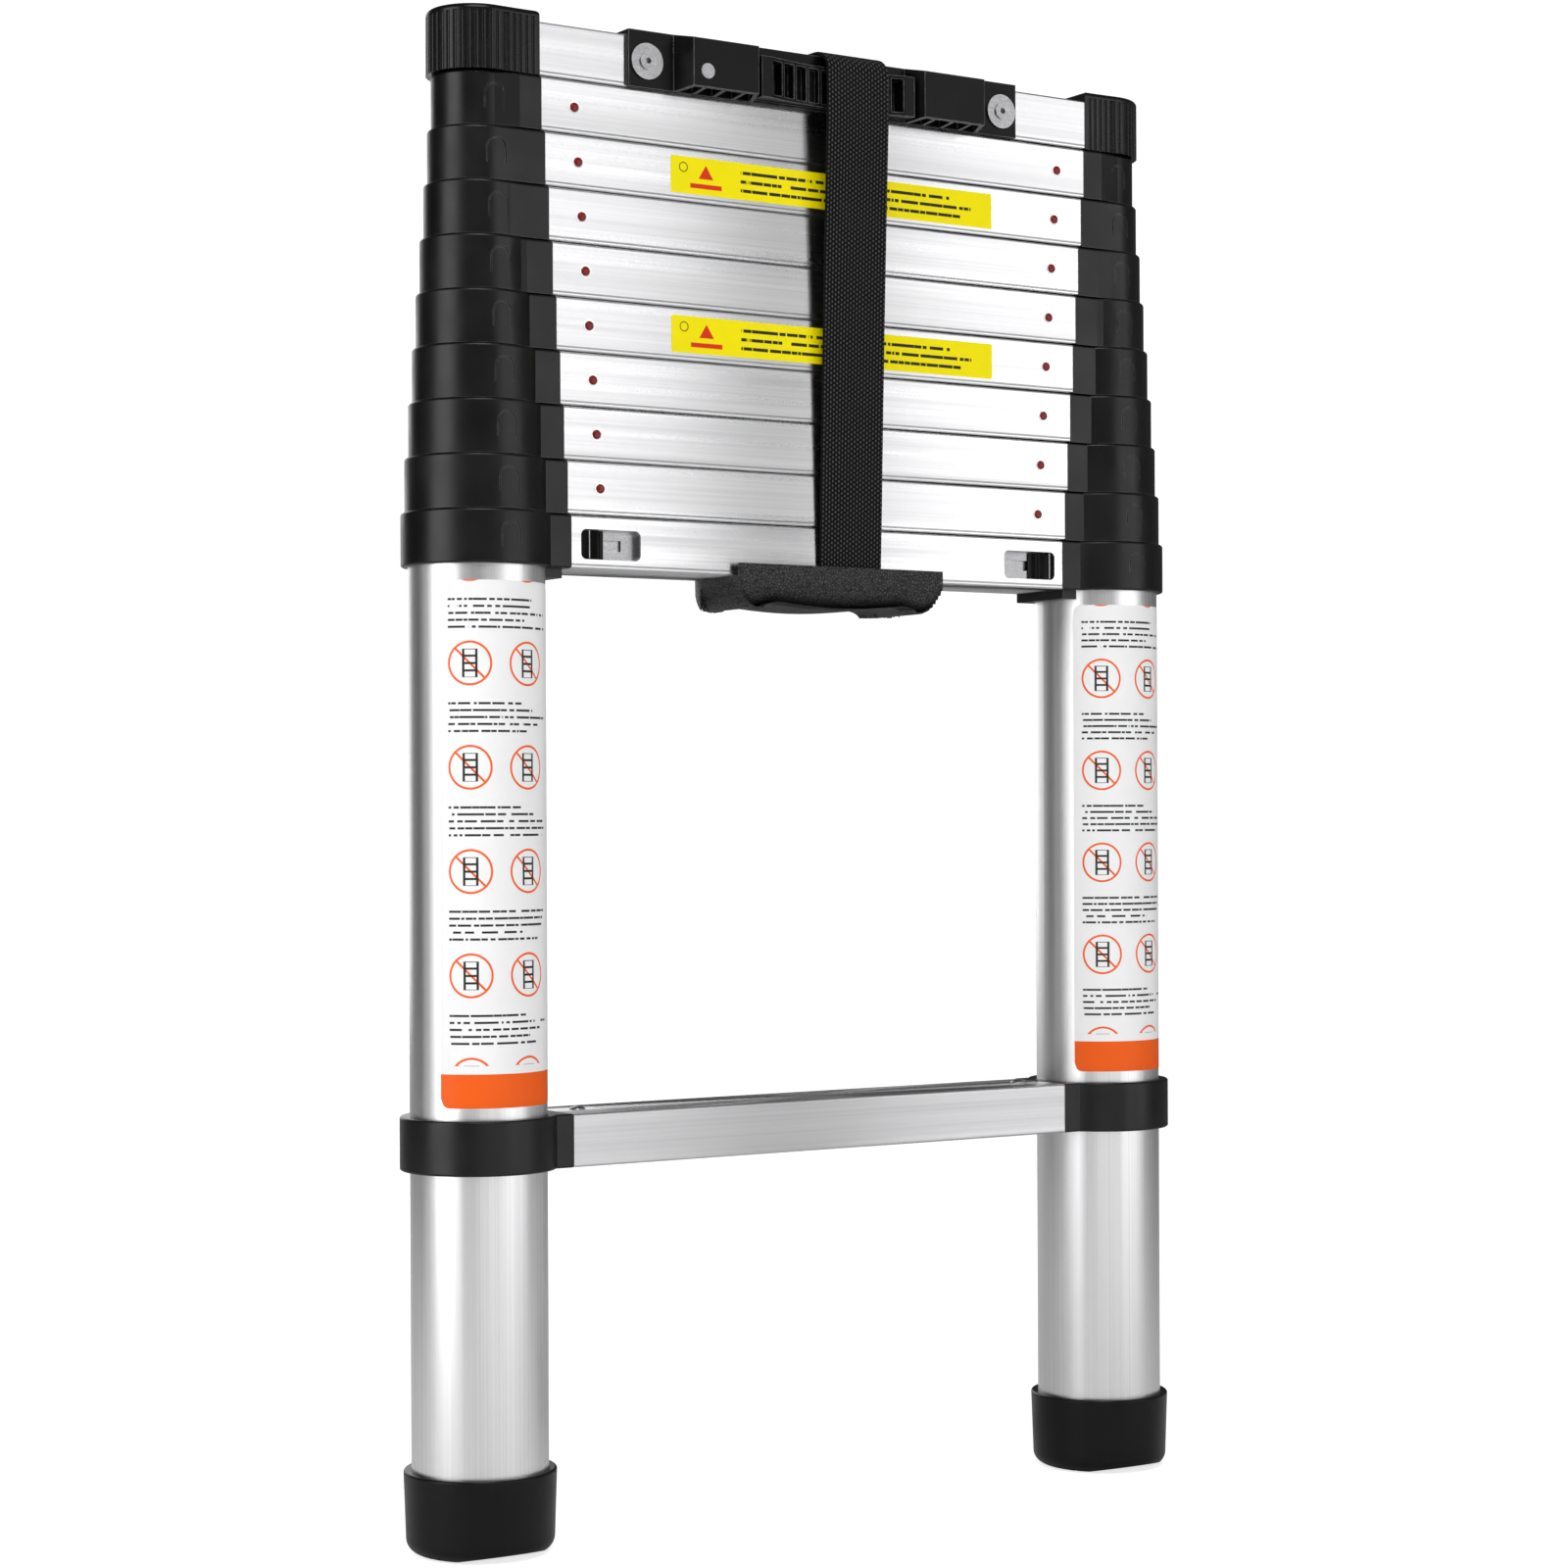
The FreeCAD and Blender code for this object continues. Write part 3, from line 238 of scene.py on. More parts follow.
def use(tree, group, **sockets):
    made = tree.nodes.new("ShaderNodeGroup")
    made.node_tree = group
    for name, value in sockets.items():
        made.inputs[name].default_value = value
    return made.outputs


def drawn_lines_group():
    """Fine drawing lines that run along one axis, with broad streaks among them."""
    tree, given, result = new_group("drawn_lines", {"Scale": (1.0, 1.0, 1.0)}, ("Lines", "Streaks"))
    coordinates = put(tree, "TexCoord").outputs["Object"]
    mapped = put(tree, "Mapping", {"Vector": coordinates, "Scale": given["Scale"]}).outputs[0]
    tree.links.new(noise(tree, mapped, 1.0, 4.0), result["Lines"])
    tree.links.new(noise(tree, mapped, 0.12, 3.0), result["Streaks"])
    return tree


def worn_and_highlit_edges_group():
    """A mask that is bright on convex edges, broken up by small noise: partly wear, partly painted
    highlight on the edges.
    """
    tree, given, result = new_group("worn_and_highlit_edges", {"Radius": 0.0006, "Breakup": 0.5}, ("Edge",))
    rounded = put(tree, "Bevel", {"Radius": given["Radius"]}, samples=4).outputs[0]
    plain = put(tree, "NewGeometry").outputs["Normal"]
    match = put(tree, "VectorMath", {0: rounded, 1: plain}, operation="DOT_PRODUCT").outputs["Value"]
    edge = remap(tree, match, 0.985, 0.80)
    coordinates = put(tree, "TexCoord").outputs["Object"]
    patchy = remap(tree, noise(tree, coordinates, 260.0, 4.0), 0.35, 0.65)
    kept = maths(tree, "SUBTRACT", 1.0, maths(tree, "MULTIPLY", patchy, given["Breakup"]))
    tree.links.new(maths(tree, "MULTIPLY", edge, kept), result["Edge"])
    return tree


def moulded_skin_group():
    """The fine skin of moulded plastic and rubber: pores for the height, cloudy patches for the gloss."""
    tree, given, result = new_group("moulded_skin", {"Scale": 2500.0}, ("Pores", "Cloud"))
    coordinates = put(tree, "TexCoord").outputs["Object"]
    tree.links.new(noise(tree, coordinates, given["Scale"], 2.0), result["Pores"])
    tree.links.new(noise(tree, coordinates, 38.0, 5.0), result["Cloud"])
    return tree


def dust_group():
    """Thin pale dust that settles on upward faces."""
    tree, given, result = new_group("settled_dust", {"Amount": 0.2}, ("Dust",))
    normal = put(tree, "NewGeometry").outputs["Normal"]
    up = put(tree, "SeparateXYZ", {"Vector": normal}).outputs["Z"]
    coordinates = put(tree, "TexCoord").outputs["Object"]
    patchy = remap(tree, noise(tree, coordinates, 420.0, 6.0), 0.42, 0.75)
    lying = remap(tree, up, 0.1, 1.0, 0.15, 1.0)
    tree.links.new(maths(tree, "MULTIPLY", maths(tree, "MULTIPLY", patchy, lying), given["Amount"]),
                   result["Dust"])
    return tree


DRAWN_LINES = drawn_lines_group()
WORN_AND_HIGHLIT_EDGES = worn_and_highlit_edges_group()
MOULDED_SKIN = moulded_skin_group()
SETTLED_DUST = dust_group()


def new_material(name, **constants):
    """A material with its shader, whose plain values are set on the shader's own sockets."""
    material = bpy.data.materials.new(name)
    material.use_nodes = True
    tree = material.node_tree
    shader = tree.nodes["Principled BSDF"]
    for label, value in constants.items():
        shader.inputs[label.replace("_", " ")].default_value = value
    return material, tree, shader


def feed(tree, shader, **sockets):
    for label, value in sockets.items():
        tree.links.new(value, shader.inputs[label.replace("_", " ")])


def bump(tree, shader, height, distance, strength=1.0):
    made = put(tree, "Bump", {"Height": height, "Distance": distance, "Strength": strength})
    feed(tree, shader, Normal=made.outputs[0])


def lowered(tree, value, low, high):
    """Spreads a noise value between two values of roughness or shade."""
    return remap(tree, value, 0.3, 0.7, low, high)


# ---- finishes ---------------------------------------------------------------------------------

def drawn_aluminium(name, scale, light, dark, roughness, along_rung=False, extra=None):
    """Satin aluminium with drawing lines. Extra returns a height and a mask of painted shade of its own."""
    spread = {"Anisotropic": 0.97, "Anisotropic_Rotation": 0.25} if along_rung else {"Anisotropic": 0.3}
    material, tree, shader = new_material(name, Metallic=1.0, **spread)
    lines = use(tree, DRAWN_LINES, Scale=scale)
    edge = use(tree, WORN_AND_HIGHLIT_EDGES, Radius=0.0005, Breakup=0.3)["Edge"]
    dust = use(tree, SETTLED_DUST, Amount=0.10)["Dust"]
    shade = mix_colour(tree, lowered(tree, lines["Lines"], 0.0, 1.0), dark, light)
    height = lines["Lines"]
    if extra:
        groove, mask = extra(tree)
        # painted shade: the relief line's groove is darkened in the colour
        shade = mix_colour(tree, mask, shade, (0.16, 0.16, 0.17))
        height = maths(tree, "SUBTRACT", maths(tree, "MULTIPLY", height, 0.02), groove)
    # paler edges: partly wear, partly painted highlight
    shade = mix_colour(tree, maths(tree, "MULTIPLY", edge, 0.5), shade, (0.97, 0.97, 0.98))
    shade = mix_colour(tree, dust, shade, (0.55, 0.53, 0.50))
    gloss = lowered(tree, lines["Streaks"], roughness - 0.05, roughness + 0.06)
    feed(tree, shader, Base_Color=shade, Roughness=maths(tree, "ADD", gloss, dust))
    bump(tree, shader, height, 0.0003 if extra else 0.00002, 0.6)
    return material


def rung_relief_and_painted_shade(tree):
    """The extruded line that runs along each rung a little above its lower edge, darkened in the colour as
    painted shade.
    """
    coordinates = put(tree, "TexCoord").outputs["Object"]
    z = put(tree, "SeparateXYZ", {"Vector": coordinates}).outputs["Z"]
    rise = maths(tree, "MODULO", maths(tree, "SUBTRACT", z, RUNG_BOTTOM - 10 * CLOSED_PITCH), CLOSED_PITCH)
    away = maths(tree, "ABSOLUTE", maths(tree, "SUBTRACT", rise, 0.0020))
    line = remap(tree, away, 0.00045, 0.00015)
    return line, maths(tree, "MULTIPLY", line, 0.55)


def black_moulding(name, shade, roughness, edge_wear_and_highlight, edge_radius, gloss, pores=2500.0, depth=0.00002):
    """Black moulded plastic: cloudy gloss, fine pores and paler edges, partly wear and partly painted
    highlight.
    """
    material, tree, shader = new_material(name, Specular_IOR_Level=gloss)
    skin = use(tree, MOULDED_SKIN, Scale=pores)
    edge = use(tree, WORN_AND_HIGHLIT_EDGES, Radius=edge_radius, Breakup=0.55)["Edge"]
    dust = use(tree, SETTLED_DUST, Amount=0.010)["Dust"]
    darker, lighter = (shade * 0.75,) * 3, (shade * 1.25,) * 3
    colour = mix_colour(tree, lowered(tree, skin["Cloud"], 0.0, 1.0), darker, lighter)
    # paler edges: partly wear, partly painted highlight
    colour = mix_colour(tree, edge, colour, edge_wear_and_highlight)
    colour = mix_colour(tree, dust, colour, (0.30, 0.29, 0.27))
    level = lowered(tree, skin["Cloud"], roughness - 0.05, roughness + 0.07)
    feed(tree, shader, Base_Color=colour, Roughness=maths(tree, "ADD", level, dust))
    bump(tree, shader, skin["Pores"], depth)
    return material


def zinc_steel():
    """Zinc-plated steel with small spangles and light scratches."""
    material, tree, shader = new_material("zinc_steel", Metallic=1.0)
    coordinates = put(tree, "TexCoord").outputs["Object"]
    spangle = put(tree, "TexVoronoi", {"Vector": coordinates, "Scale": 900.0}).outputs["Distance"]
    scratch = use(tree, DRAWN_LINES, Scale=(160.0, 160.0, 1600.0))["Lines"]
    edge = use(tree, WORN_AND_HIGHLIT_EDGES, Radius=0.0003, Breakup=0.3)["Edge"]
    colour = mix_colour(tree, remap(tree, spangle, 0.1, 0.6), (0.28, 0.28, 0.29), (0.38, 0.38, 0.39))
    # paler edges: partly wear, partly painted highlight
    colour = mix_colour(tree, maths(tree, "MULTIPLY", edge, 0.7), colour, (0.9, 0.9, 0.91))
    feed(tree, shader, Base_Color=colour, Roughness=lowered(tree, scratch, 0.26, 0.42))
    bump(tree, shader, scratch, 0.00003)
    return material


def grained_grip():
    """Black rubber with a pressed leather grain."""
    material, tree, shader = new_material("grained_grip", Specular_IOR_Level=0.14)
    coordinates = put(tree, "TexCoord").outputs["Object"]
    wander = put(tree, "TexNoise", {"Vector": coordinates, "Scale": 240.0, "Detail": 2.0}).outputs["Color"]
    centred = put(tree, "VectorMath", {0: wander, 1: (0.5, 0.5, 0.5)}, operation="SUBTRACT").outputs[0]
    small = put(tree, "VectorMath", {0: centred, "Scale": 0.0016}, operation="SCALE").outputs[0]
    bent = put(tree, "VectorMath", {0: coordinates, 1: small}, operation="ADD").outputs[0]
    cells = put(tree, "TexVoronoi", {"Vector": bent, "Scale": 620.0}, feature="DISTANCE_TO_EDGE").outputs[0]
    pebble = remap(tree, cells, 0.02, 0.28)
    skin = use(tree, MOULDED_SKIN, Scale=2800.0)
    dust = use(tree, SETTLED_DUST, Amount=0.03)["Dust"]
    edge = use(tree, WORN_AND_HIGHLIT_EDGES, Radius=0.0006, Breakup=0.5)["Edge"]
    colour = mix_colour(tree, pebble, (0.012, 0.012, 0.012), (0.075, 0.075, 0.077))
    # paler edges: partly wear, partly painted highlight
    colour = mix_colour(tree, maths(tree, "MULTIPLY", edge, 0.4), colour, (0.04, 0.04, 0.04))
    colour = mix_colour(tree, dust, colour, (0.12, 0.12, 0.11))
    feed(tree, shader, Base_Color=colour, Roughness=lowered(tree, skin["Cloud"], 0.36, 0.50))
    grain, pores = maths(tree, "MULTIPLY", pebble, 0.9), maths(tree, "MULTIPLY", skin["Pores"], 0.1)
    height = maths(tree, "ADD", grain, pores)
    bump(tree, shader, height, 0.00022)
    return material


def woven_webbing():
    """Black webbing: warp ribs along the strap with staggered picks across them, the picks' crowns painted
    lighter as thread highlights. UV is in millimetres.
    """
    material, tree, shader = new_material("woven_webbing", Specular_IOR_Level=0.12, Sheen_Weight=0.05,
                                          Sheen_Roughness=0.4)
    place = put(tree, "SeparateXYZ", {"Vector": put(tree, "TexCoord").outputs["UV"]}).outputs
    across = maths(tree, "DIVIDE", place["X"], WEAVE_PITCH)
    along = maths(tree, "DIVIDE", place["Y"], PICK_PITCH)
    odd = maths(tree, "MODULO", maths(tree, "FLOOR", across), 2.0)
    along = maths(tree, "ADD", along, maths(tree, "MULTIPLY", odd, 0.5))
    rib = maths(tree, "SINE", maths(tree, "MULTIPLY", maths(tree, "FRACT", across), math.pi))
    knot = maths(tree, "SINE", maths(tree, "MULTIPLY", maths(tree, "FRACT", along), math.pi))
    crown = maths(tree, "MULTIPLY", rib, maths(tree, "POWER", knot, 0.7))
    fibre = noise(tree, stretched(tree, (9.0, 2.2, 1.0), "UV"), 1.0, 3.0)
    worn = noise(tree, stretched(tree, (0.05, 0.03, 1.0), "UV"), 1.0, 4.0)
    high = remap(tree, crown, 0.60, 1.0)
    # painted highlight: the crowns of the picks are coloured lighter
    painted_thread_highlight = maths(tree, "MULTIPLY", high, lowered(tree, fibre, 0.35, 1.0))
    colour = mix_colour(tree, painted_thread_highlight, (0.0025, 0.0025, 0.0028), (0.15, 0.15, 0.155))
    colour = mix_colour(tree, remap(tree, worn, 0.55, 0.8, 0.0, 0.25), colour, (0.02, 0.02, 0.021))
    feed(tree, shader, Base_Color=colour, Roughness=remap(tree, crown, 0.0, 1.0, 0.85, 0.5))
    height = maths(tree, "ADD", maths(tree, "MULTIPLY", crown, 0.85), maths(tree, "MULTIPLY", fibre, 0.15))
    bump(tree, shader, height, 0.00055)
    return material


def red_lens():
    """Dark red glossy plastic of the lock indicators."""
    material, tree, shader = new_material("red_lens", Specular_IOR_Level=0.3, Coat_Weight=0.08,
                                          Coat_Roughness=0.05)
    skin = use(tree, MOULDED_SKIN, Scale=1800.0)
    deep, bright = (0.12, 0.001, 0.001), (0.26, 0.004, 0.004)
    colour = mix_colour(tree, lowered(tree, skin["Pores"], 0.0, 1.0), deep, bright)
    feed(tree, shader, Base_Color=colour, Roughness=lowered(tree, skin["Cloud"], 0.18, 0.30))
    bump(tree, shader, skin["Pores"], 0.00001)
    return material


def bright_rim():
    """The chamfered rim round an indicator's window, its metal coloured brighter than the rung's: partly a
    real chamfer, partly painted highlight.
    """
    material, tree, shader = new_material("bright_rim", Metallic=1.0)
    skin = use(tree, MOULDED_SKIN, Scale=3000.0)
    # painted highlight: the rim's metal is coloured brighter than the rung's
    dull, brightest = (0.86, 0.86, 0.87), (0.98, 0.98, 0.99)
    colour = mix_colour(tree, lowered(tree, skin["Pores"], 0.0, 1.0), dull, brightest)
    feed(tree, shader, Base_Color=colour, Roughness=lowered(tree, skin["Cloud"], 0.30, 0.42))
    bump(tree, shader, skin["Pores"], 0.00001)
    return material


def film(name, paper, ink, accent, marks):
    """Printed film. Marks returns the masks of its dark and its coloured print."""
    material, tree, shader = new_material(name, Specular_IOR_Level=0.1)
    place = put(tree, "SeparateXYZ", {"Vector": put(tree, "TexCoord").outputs["UV"]}).outputs
    dark, bright = marks(tree, place["X"], place["Y"])
    skin = use(tree, MOULDED_SKIN, Scale=1500.0)
    shaded = [part * 0.96 for part in paper]
    colour = mix_colour(tree, lowered(tree, skin["Cloud"], 0.0, 1.0), shaded, paper)
    colour = mix_colour(tree, bright, colour, accent)
    colour = mix_colour(tree, dark, colour, ink)
    feed(tree, shader, Base_Color=colour, Roughness=lowered(tree, skin["Cloud"], 0.34, 0.46))
    bump(tree, shader, skin["Pores"], 0.00001)
    return material


def within(tree, value, low, high, soft=0.12):
    """1 where the value lies between two bounds, with a soft edge in the value's own units."""
    above = remap(tree, value, low - soft, low + soft)
    below = remap(tree, value, high + soft, high - soft)
    return maths(tree, "MULTIPLY", above, below)


def ring_mark(tree, x, y, centre_x, centre_y, radius, line):
    """A round outline about a centre, all in millimetres, and the distance from that centre."""
    across = maths(tree, "SUBTRACT", x, centre_x)
    up = maths(tree, "SUBTRACT", y, centre_y)
    square = maths(tree, "ADD", maths(tree, "MULTIPLY", across, across), maths(tree, "MULTIPLY", up, up))
    far = maths(tree, "SQRT", square)
    return within(tree, far, radius - line, radius), far, across, up


def bar_rows(tree, x, y, pitch, height, start_x, end_x, ragged):
    """Rows of plain bars with ragged ends, such as stand for lines of print."""
    row = maths(tree, "FLOOR", maths(tree, "DIVIDE", y, pitch))
    rise = maths(tree, "SUBTRACT", y, maths(tree, "MULTIPLY", row, pitch))
    chance = put(tree, "TexWhiteNoise", {"W": row}, noise_dimensions="1D").outputs["Value"]
    end = maths(tree, "SUBTRACT", end_x, maths(tree, "MULTIPLY", chance, ragged))
    left = remap(tree, x, start_x - 0.1, start_x + 0.1)
    right = remap(tree, maths(tree, "SUBTRACT", end, x), -0.1, 0.1)
    spread = {"X": maths(tree, "MULTIPLY", x, 0.5), "Y": maths(tree, "MULTIPLY", row, 7.3)}
    words = noise(tree, put(tree, "CombineXYZ", spread).outputs[0], 1.0, 0.0)
    gaps = remap(tree, words, 0.36, 0.40)
    inside = maths(tree, "MULTIPLY", left, right)
    bar = maths(tree, "MULTIPLY", within(tree, rise, BAR_RISE, BAR_RISE + height), inside)
    return maths(tree, "MULTIPLY", bar, gaps)


def tube_label_marks(tree, x, y):
    """Blocks of plain bars between pairs of rings, above a broad band at the foot of the label."""
    rise = maths(tree, "MODULO", y, LABEL_BLOCK)
    bars = bar_rows(tree, x, y, pitch=3.4, height=1.1, start_x=5.0, end_x=LABEL_WIDTH - 6.0, ragged=26.0)
    dark = maths(tree, "MULTIPLY", bars, within(tree, rise, LABEL_ROWS[0], LABEL_ROWS[1]))
    inside = maths(tree, "MODULO", maths(tree, "SUBTRACT", x, RING_START), RING_PITCH)
    round_line, far, across, up = ring_mark(tree, inside, rise, RING_RADIUS + 1.0, RING_HEIGHT,
                                            RING_RADIUS, 1.1)
    slant = within(tree, maths(tree, "ADD", across, up), -0.75, 0.75)
    slash = maths(tree, "MULTIPLY", slant, remap(tree, far, RING_RADIUS, RING_RADIUS - 0.3))
    bright = maths(tree, "MAXIMUM", round_line, slash)
    post = within(tree, maths(tree, "ABSOLUTE", across), 2.6, 3.8)
    step = within(tree, maths(tree, "MODULO", maths(tree, "ADD", up, 30.0), 3.6), 0.6, 1.7)
    steps = maths(tree, "MULTIPLY", step, remap(tree, maths(tree, "ABSOLUTE", across), 3.8, 3.5))
    sign = maths(tree, "MULTIPLY", maths(tree, "MAXIMUM", post, steps), within(tree, up, -7.0, 7.0))
    rings_end = RING_START + 2 * RING_PITCH
    fits = remap(tree, x, rings_end, rings_end - 0.2)
    above_band = remap(tree, y, BAND_HEIGHT + 4.0, BAND_HEIGHT + 4.2)
    shown = maths(tree, "MULTIPLY", fits, above_band)
    band = maths(tree, "SUBTRACT", 1.0, remap(tree, y, BAND_HEIGHT - 0.1, BAND_HEIGHT + 0.1))
    dark = maths(tree, "MAXIMUM", dark, maths(tree, "MULTIPLY", sign, fits))
    bright = maths(tree, "MAXIMUM", maths(tree, "MULTIPLY", bright, shown), band)
    return maths(tree, "MULTIPLY", dark, above_band), bright


def rung_sticker_marks(tree, x, y):
    """A ring, a plain triangle on a bar, and three rows of bars."""
    round_line, _, _, _ = ring_mark(tree, x, y, 7.5, STICKER_HEIGHT - 5.5, 2.6, 0.5)
    across = maths(tree, "ABSOLUTE", maths(tree, "SUBTRACT", x, TRIANGLE_MIDDLE))
    side = maths(tree, "SUBTRACT", STICKER_HEIGHT - 3.4, maths(tree, "MULTIPLY", across, 1.6))
    under_side = remap(tree, maths(tree, "SUBTRACT", side, y), 0.0, 0.3)
    triangle = maths(tree, "MULTIPLY", within(tree, y, 8.2, 100.0), under_side)
    low_bar = maths(tree, "MULTIPLY", within(tree, y, 3.2, 5.6), within(tree, across, -1.0, 9.5))
    rows = bar_rows(tree, x, maths(tree, "SUBTRACT", y, 3.2), pitch=4.6, height=1.7, start_x=42.0,
                    end_x=196.0, ragged=24.0)
    rows = maths(tree, "MULTIPLY", rows, within(tree, y, 3.4, STICKER_HEIGHT - 2.4))
    return maths(tree, "MAXIMUM", round_line, rows), maths(tree, "MAXIMUM", triangle, low_bar)


# print sizes in millimetres, on the pieces' UV maps
WEAVE_PITCH = 1.93              # across the strap, from rib to rib
PICK_PITCH = 2.5                # along the strap
LABEL_REACH = 60                # degrees to each side of the tube's front
LABEL_WIDTH = math.radians(2 * LABEL_REACH) * BASE_RADIUS / MM
LABEL_BLOCK = 51.0              # from one block of bars to the next
LABEL_ROWS = (30.0, 48.0)       # the bars' lower and upper ends in a block
BAR_RISE = 0.6                  # of a bar above the foot of its row
BAND_HEIGHT = 16.7
RING_START = 4.0
RING_RADIUS = 11.0
RING_HEIGHT = 14.0              # of its centre above the foot of its block
RING_PITCH = 31.0
STICKER_HEIGHT = 18.9
TRIANGLE_MIDDLE = 21.0

ALONG_TUBE, ALONG_RUNG = (900.0, 900.0, 2.5), (3.0, 800.0, 800.0)
TUBE_ALUMINIUM = drawn_aluminium("tube_aluminium", ALONG_TUBE, (0.86, 0.86, 0.87), (0.76, 0.76, 0.77), 0.36)
# painted shade: the rung aluminium is coloured darker than the tube's to offset the brighter reflection the
# rungs catch
RUNG_ALUMINIUM = drawn_aluminium("rung_aluminium", ALONG_RUNG, (0.76, 0.76, 0.77), (0.66, 0.66, 0.67), 0.28,
                                 along_rung=True, extra=rung_relief_and_painted_shade)
# painted shade: a darker copy of the rung aluminium, for the darker reflection the bottom rung catches
BOTTOM_RUNG_ALUMINIUM_PAINTED_SHADE = drawn_aluminium("bottom_rung_aluminium_painted_shade", ALONG_RUNG, (0.62, 0.62, 0.63),
                                        (0.54, 0.54, 0.55), 0.33, along_rung=True)
# the third value of each black moulding is its edge colour: partly wear, partly painted highlight
COLLAR_NYLON = black_moulding("collar_nylon", 0.002, 0.34, (0.09, 0.09, 0.09), 0.0007, 0.36)
CAP_PLASTIC = black_moulding("cap_plastic", 0.0025, 0.26, (0.05, 0.05, 0.05), 0.0005, 0.3)
BRACKET_PLASTIC = black_moulding("bracket_plastic", 0.003, 0.30, (0.30, 0.30, 0.31), 0.0007, 0.14)
LEVER_PLASTIC = black_moulding("lever_plastic", 0.002, 0.28, (0.12, 0.12, 0.12), 0.0005, 0.15,
                               pores=1400.0, depth=0.00006)
FOOT_RUBBER = black_moulding("foot_rubber", 0.002, 0.32, (0.05, 0.05, 0.05), 0.0008, 0.22,
                             pores=1800.0, depth=0.00003)
ZINC_STEEL = zinc_steel()
GRAINED_GRIP = grained_grip()
WOVEN_WEBBING = woven_webbing()
RED_LENS = red_lens()
BRIGHT_RIM = bright_rim()
WHITE_FILM = film("white_film", paper=(0.97, 0.97, 0.97), ink=(0.03, 0.03, 0.03),
                  accent=(0.95, 0.13, 0.014), marks=tube_label_marks)
YELLOW_FILM = film("yellow_film", paper=(1.0, 0.86, 0.0), ink=(0.03, 0.03, 0.02),
                   accent=(0.75, 0.04, 0.01), marks=rung_sticker_marks)


def dress_frame():
    """Gives every node of the frame its finish."""
    finishes = {
        "tube": TUBE_ALUMINIUM, "bottom_rung_rivets": ZINC_STEEL, "bottom_rung": BOTTOM_RUNG_ALUMINIUM_PAINTED_SHADE,
        "rung": RUNG_ALUMINIUM, "cap": CAP_PLASTIC, "top_bracket": BRACKET_PLASTIC,
        "rivets": ZINC_STEEL, "pin": ZINC_STEEL, "locks": ZINC_STEEL, "trays": ZINC_STEEL,
        "lever_left": LEVER_PLASTIC, "lever_right": LEVER_PLASTIC, "foot": FOOT_RUBBER,
        "carry_strap": WOVEN_WEBBING, "carry_handle": GRAINED_GRIP,
    }
    exact = ("lever_left", "lever_right", "bottom_rung_rivets", "bottom_rung")
    for name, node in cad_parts.items():
        finish = finishes[name] if name in exact else None
        for word, material in finishes.items():
            if finish is None and word not in exact and word in name:
                finish = material
        node.data.materials.clear()
        node.data.materials.append(finish or COLLAR_NYLON)


# ---- carry strap ------------------------------------------------------------------------------

STRAP_THICKNESS = 1.8 * MM
STRAP_GAP = 0.6 * MM            # between its lower end and the rungs
STRAP_LEAN = 1.2 * MM           # how far it comes forward over its straight foot
STRAP_FOOT = 30.0 * MM          # height of that foot
STRAP_SAG = 0.5 * MM
BRACKET_GAP = 4.0 * MM          # from the end of its slope up to the bracket
CROWN_RISE = 1.2 * MM           # above the bracket
BEND_DEPTH, BEND_HEIGHT = 12.0 * MM, 9.0 * MM
BACK_FOLD = 2.6 * MM


def quarter(steps):
    """The angles of a quarter turn, both ends included."""
    return [math.radians(90 * step / steps) for step in range(steps + 1)]


def strap_route():
    """The inner face of the strap seen from the side: up the front, over the bracket, down the back."""
    low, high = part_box("carry_strap")
    bracket_low, bracket_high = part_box("top_bracket")
    start_y = RUNG_FACE - STRAP_GAP
    foot_y, foot_z = start_y - STRAP_LEAN, low.z + STRAP_FOOT
    front, back = low.y + STRAP_THICKNESS, high.y - STRAP_THICKNESS
    slope_end, crown = bracket_low.z - BRACKET_GAP, bracket_high.z + CROWN_RISE
    route = [(start_y, low.z), (foot_y, foot_z)]
    slope_steps, back_steps = 14, 12
    for step in range(1, slope_steps + 1):
        share = step / slope_steps
        sag = STRAP_SAG * math.sin(share * math.pi)
        route.append((foot_y + (front - foot_y) * share + sag, foot_z + (slope_end - foot_z) * share))
    for turn in quarter(8):
        y = front + BEND_DEPTH * (1 - math.cos(turn))
        route.append((y, crown - BEND_HEIGHT * (1 - math.sin(turn))))
    route.append(((front + back) / 2 + 4 * MM, crown + 0.3 * MM))
    for turn in quarter(6):
        route.append((back - BACK_FOLD * (1 - math.sin(turn)), crown - BACK_FOLD * (1 - math.cos(turn))))
    fold_end = crown - BACK_FOLD
    for step in range(1, back_steps + 1):
        route.append((back, fold_end + (low.z - fold_end) * step / back_steps))
    return route


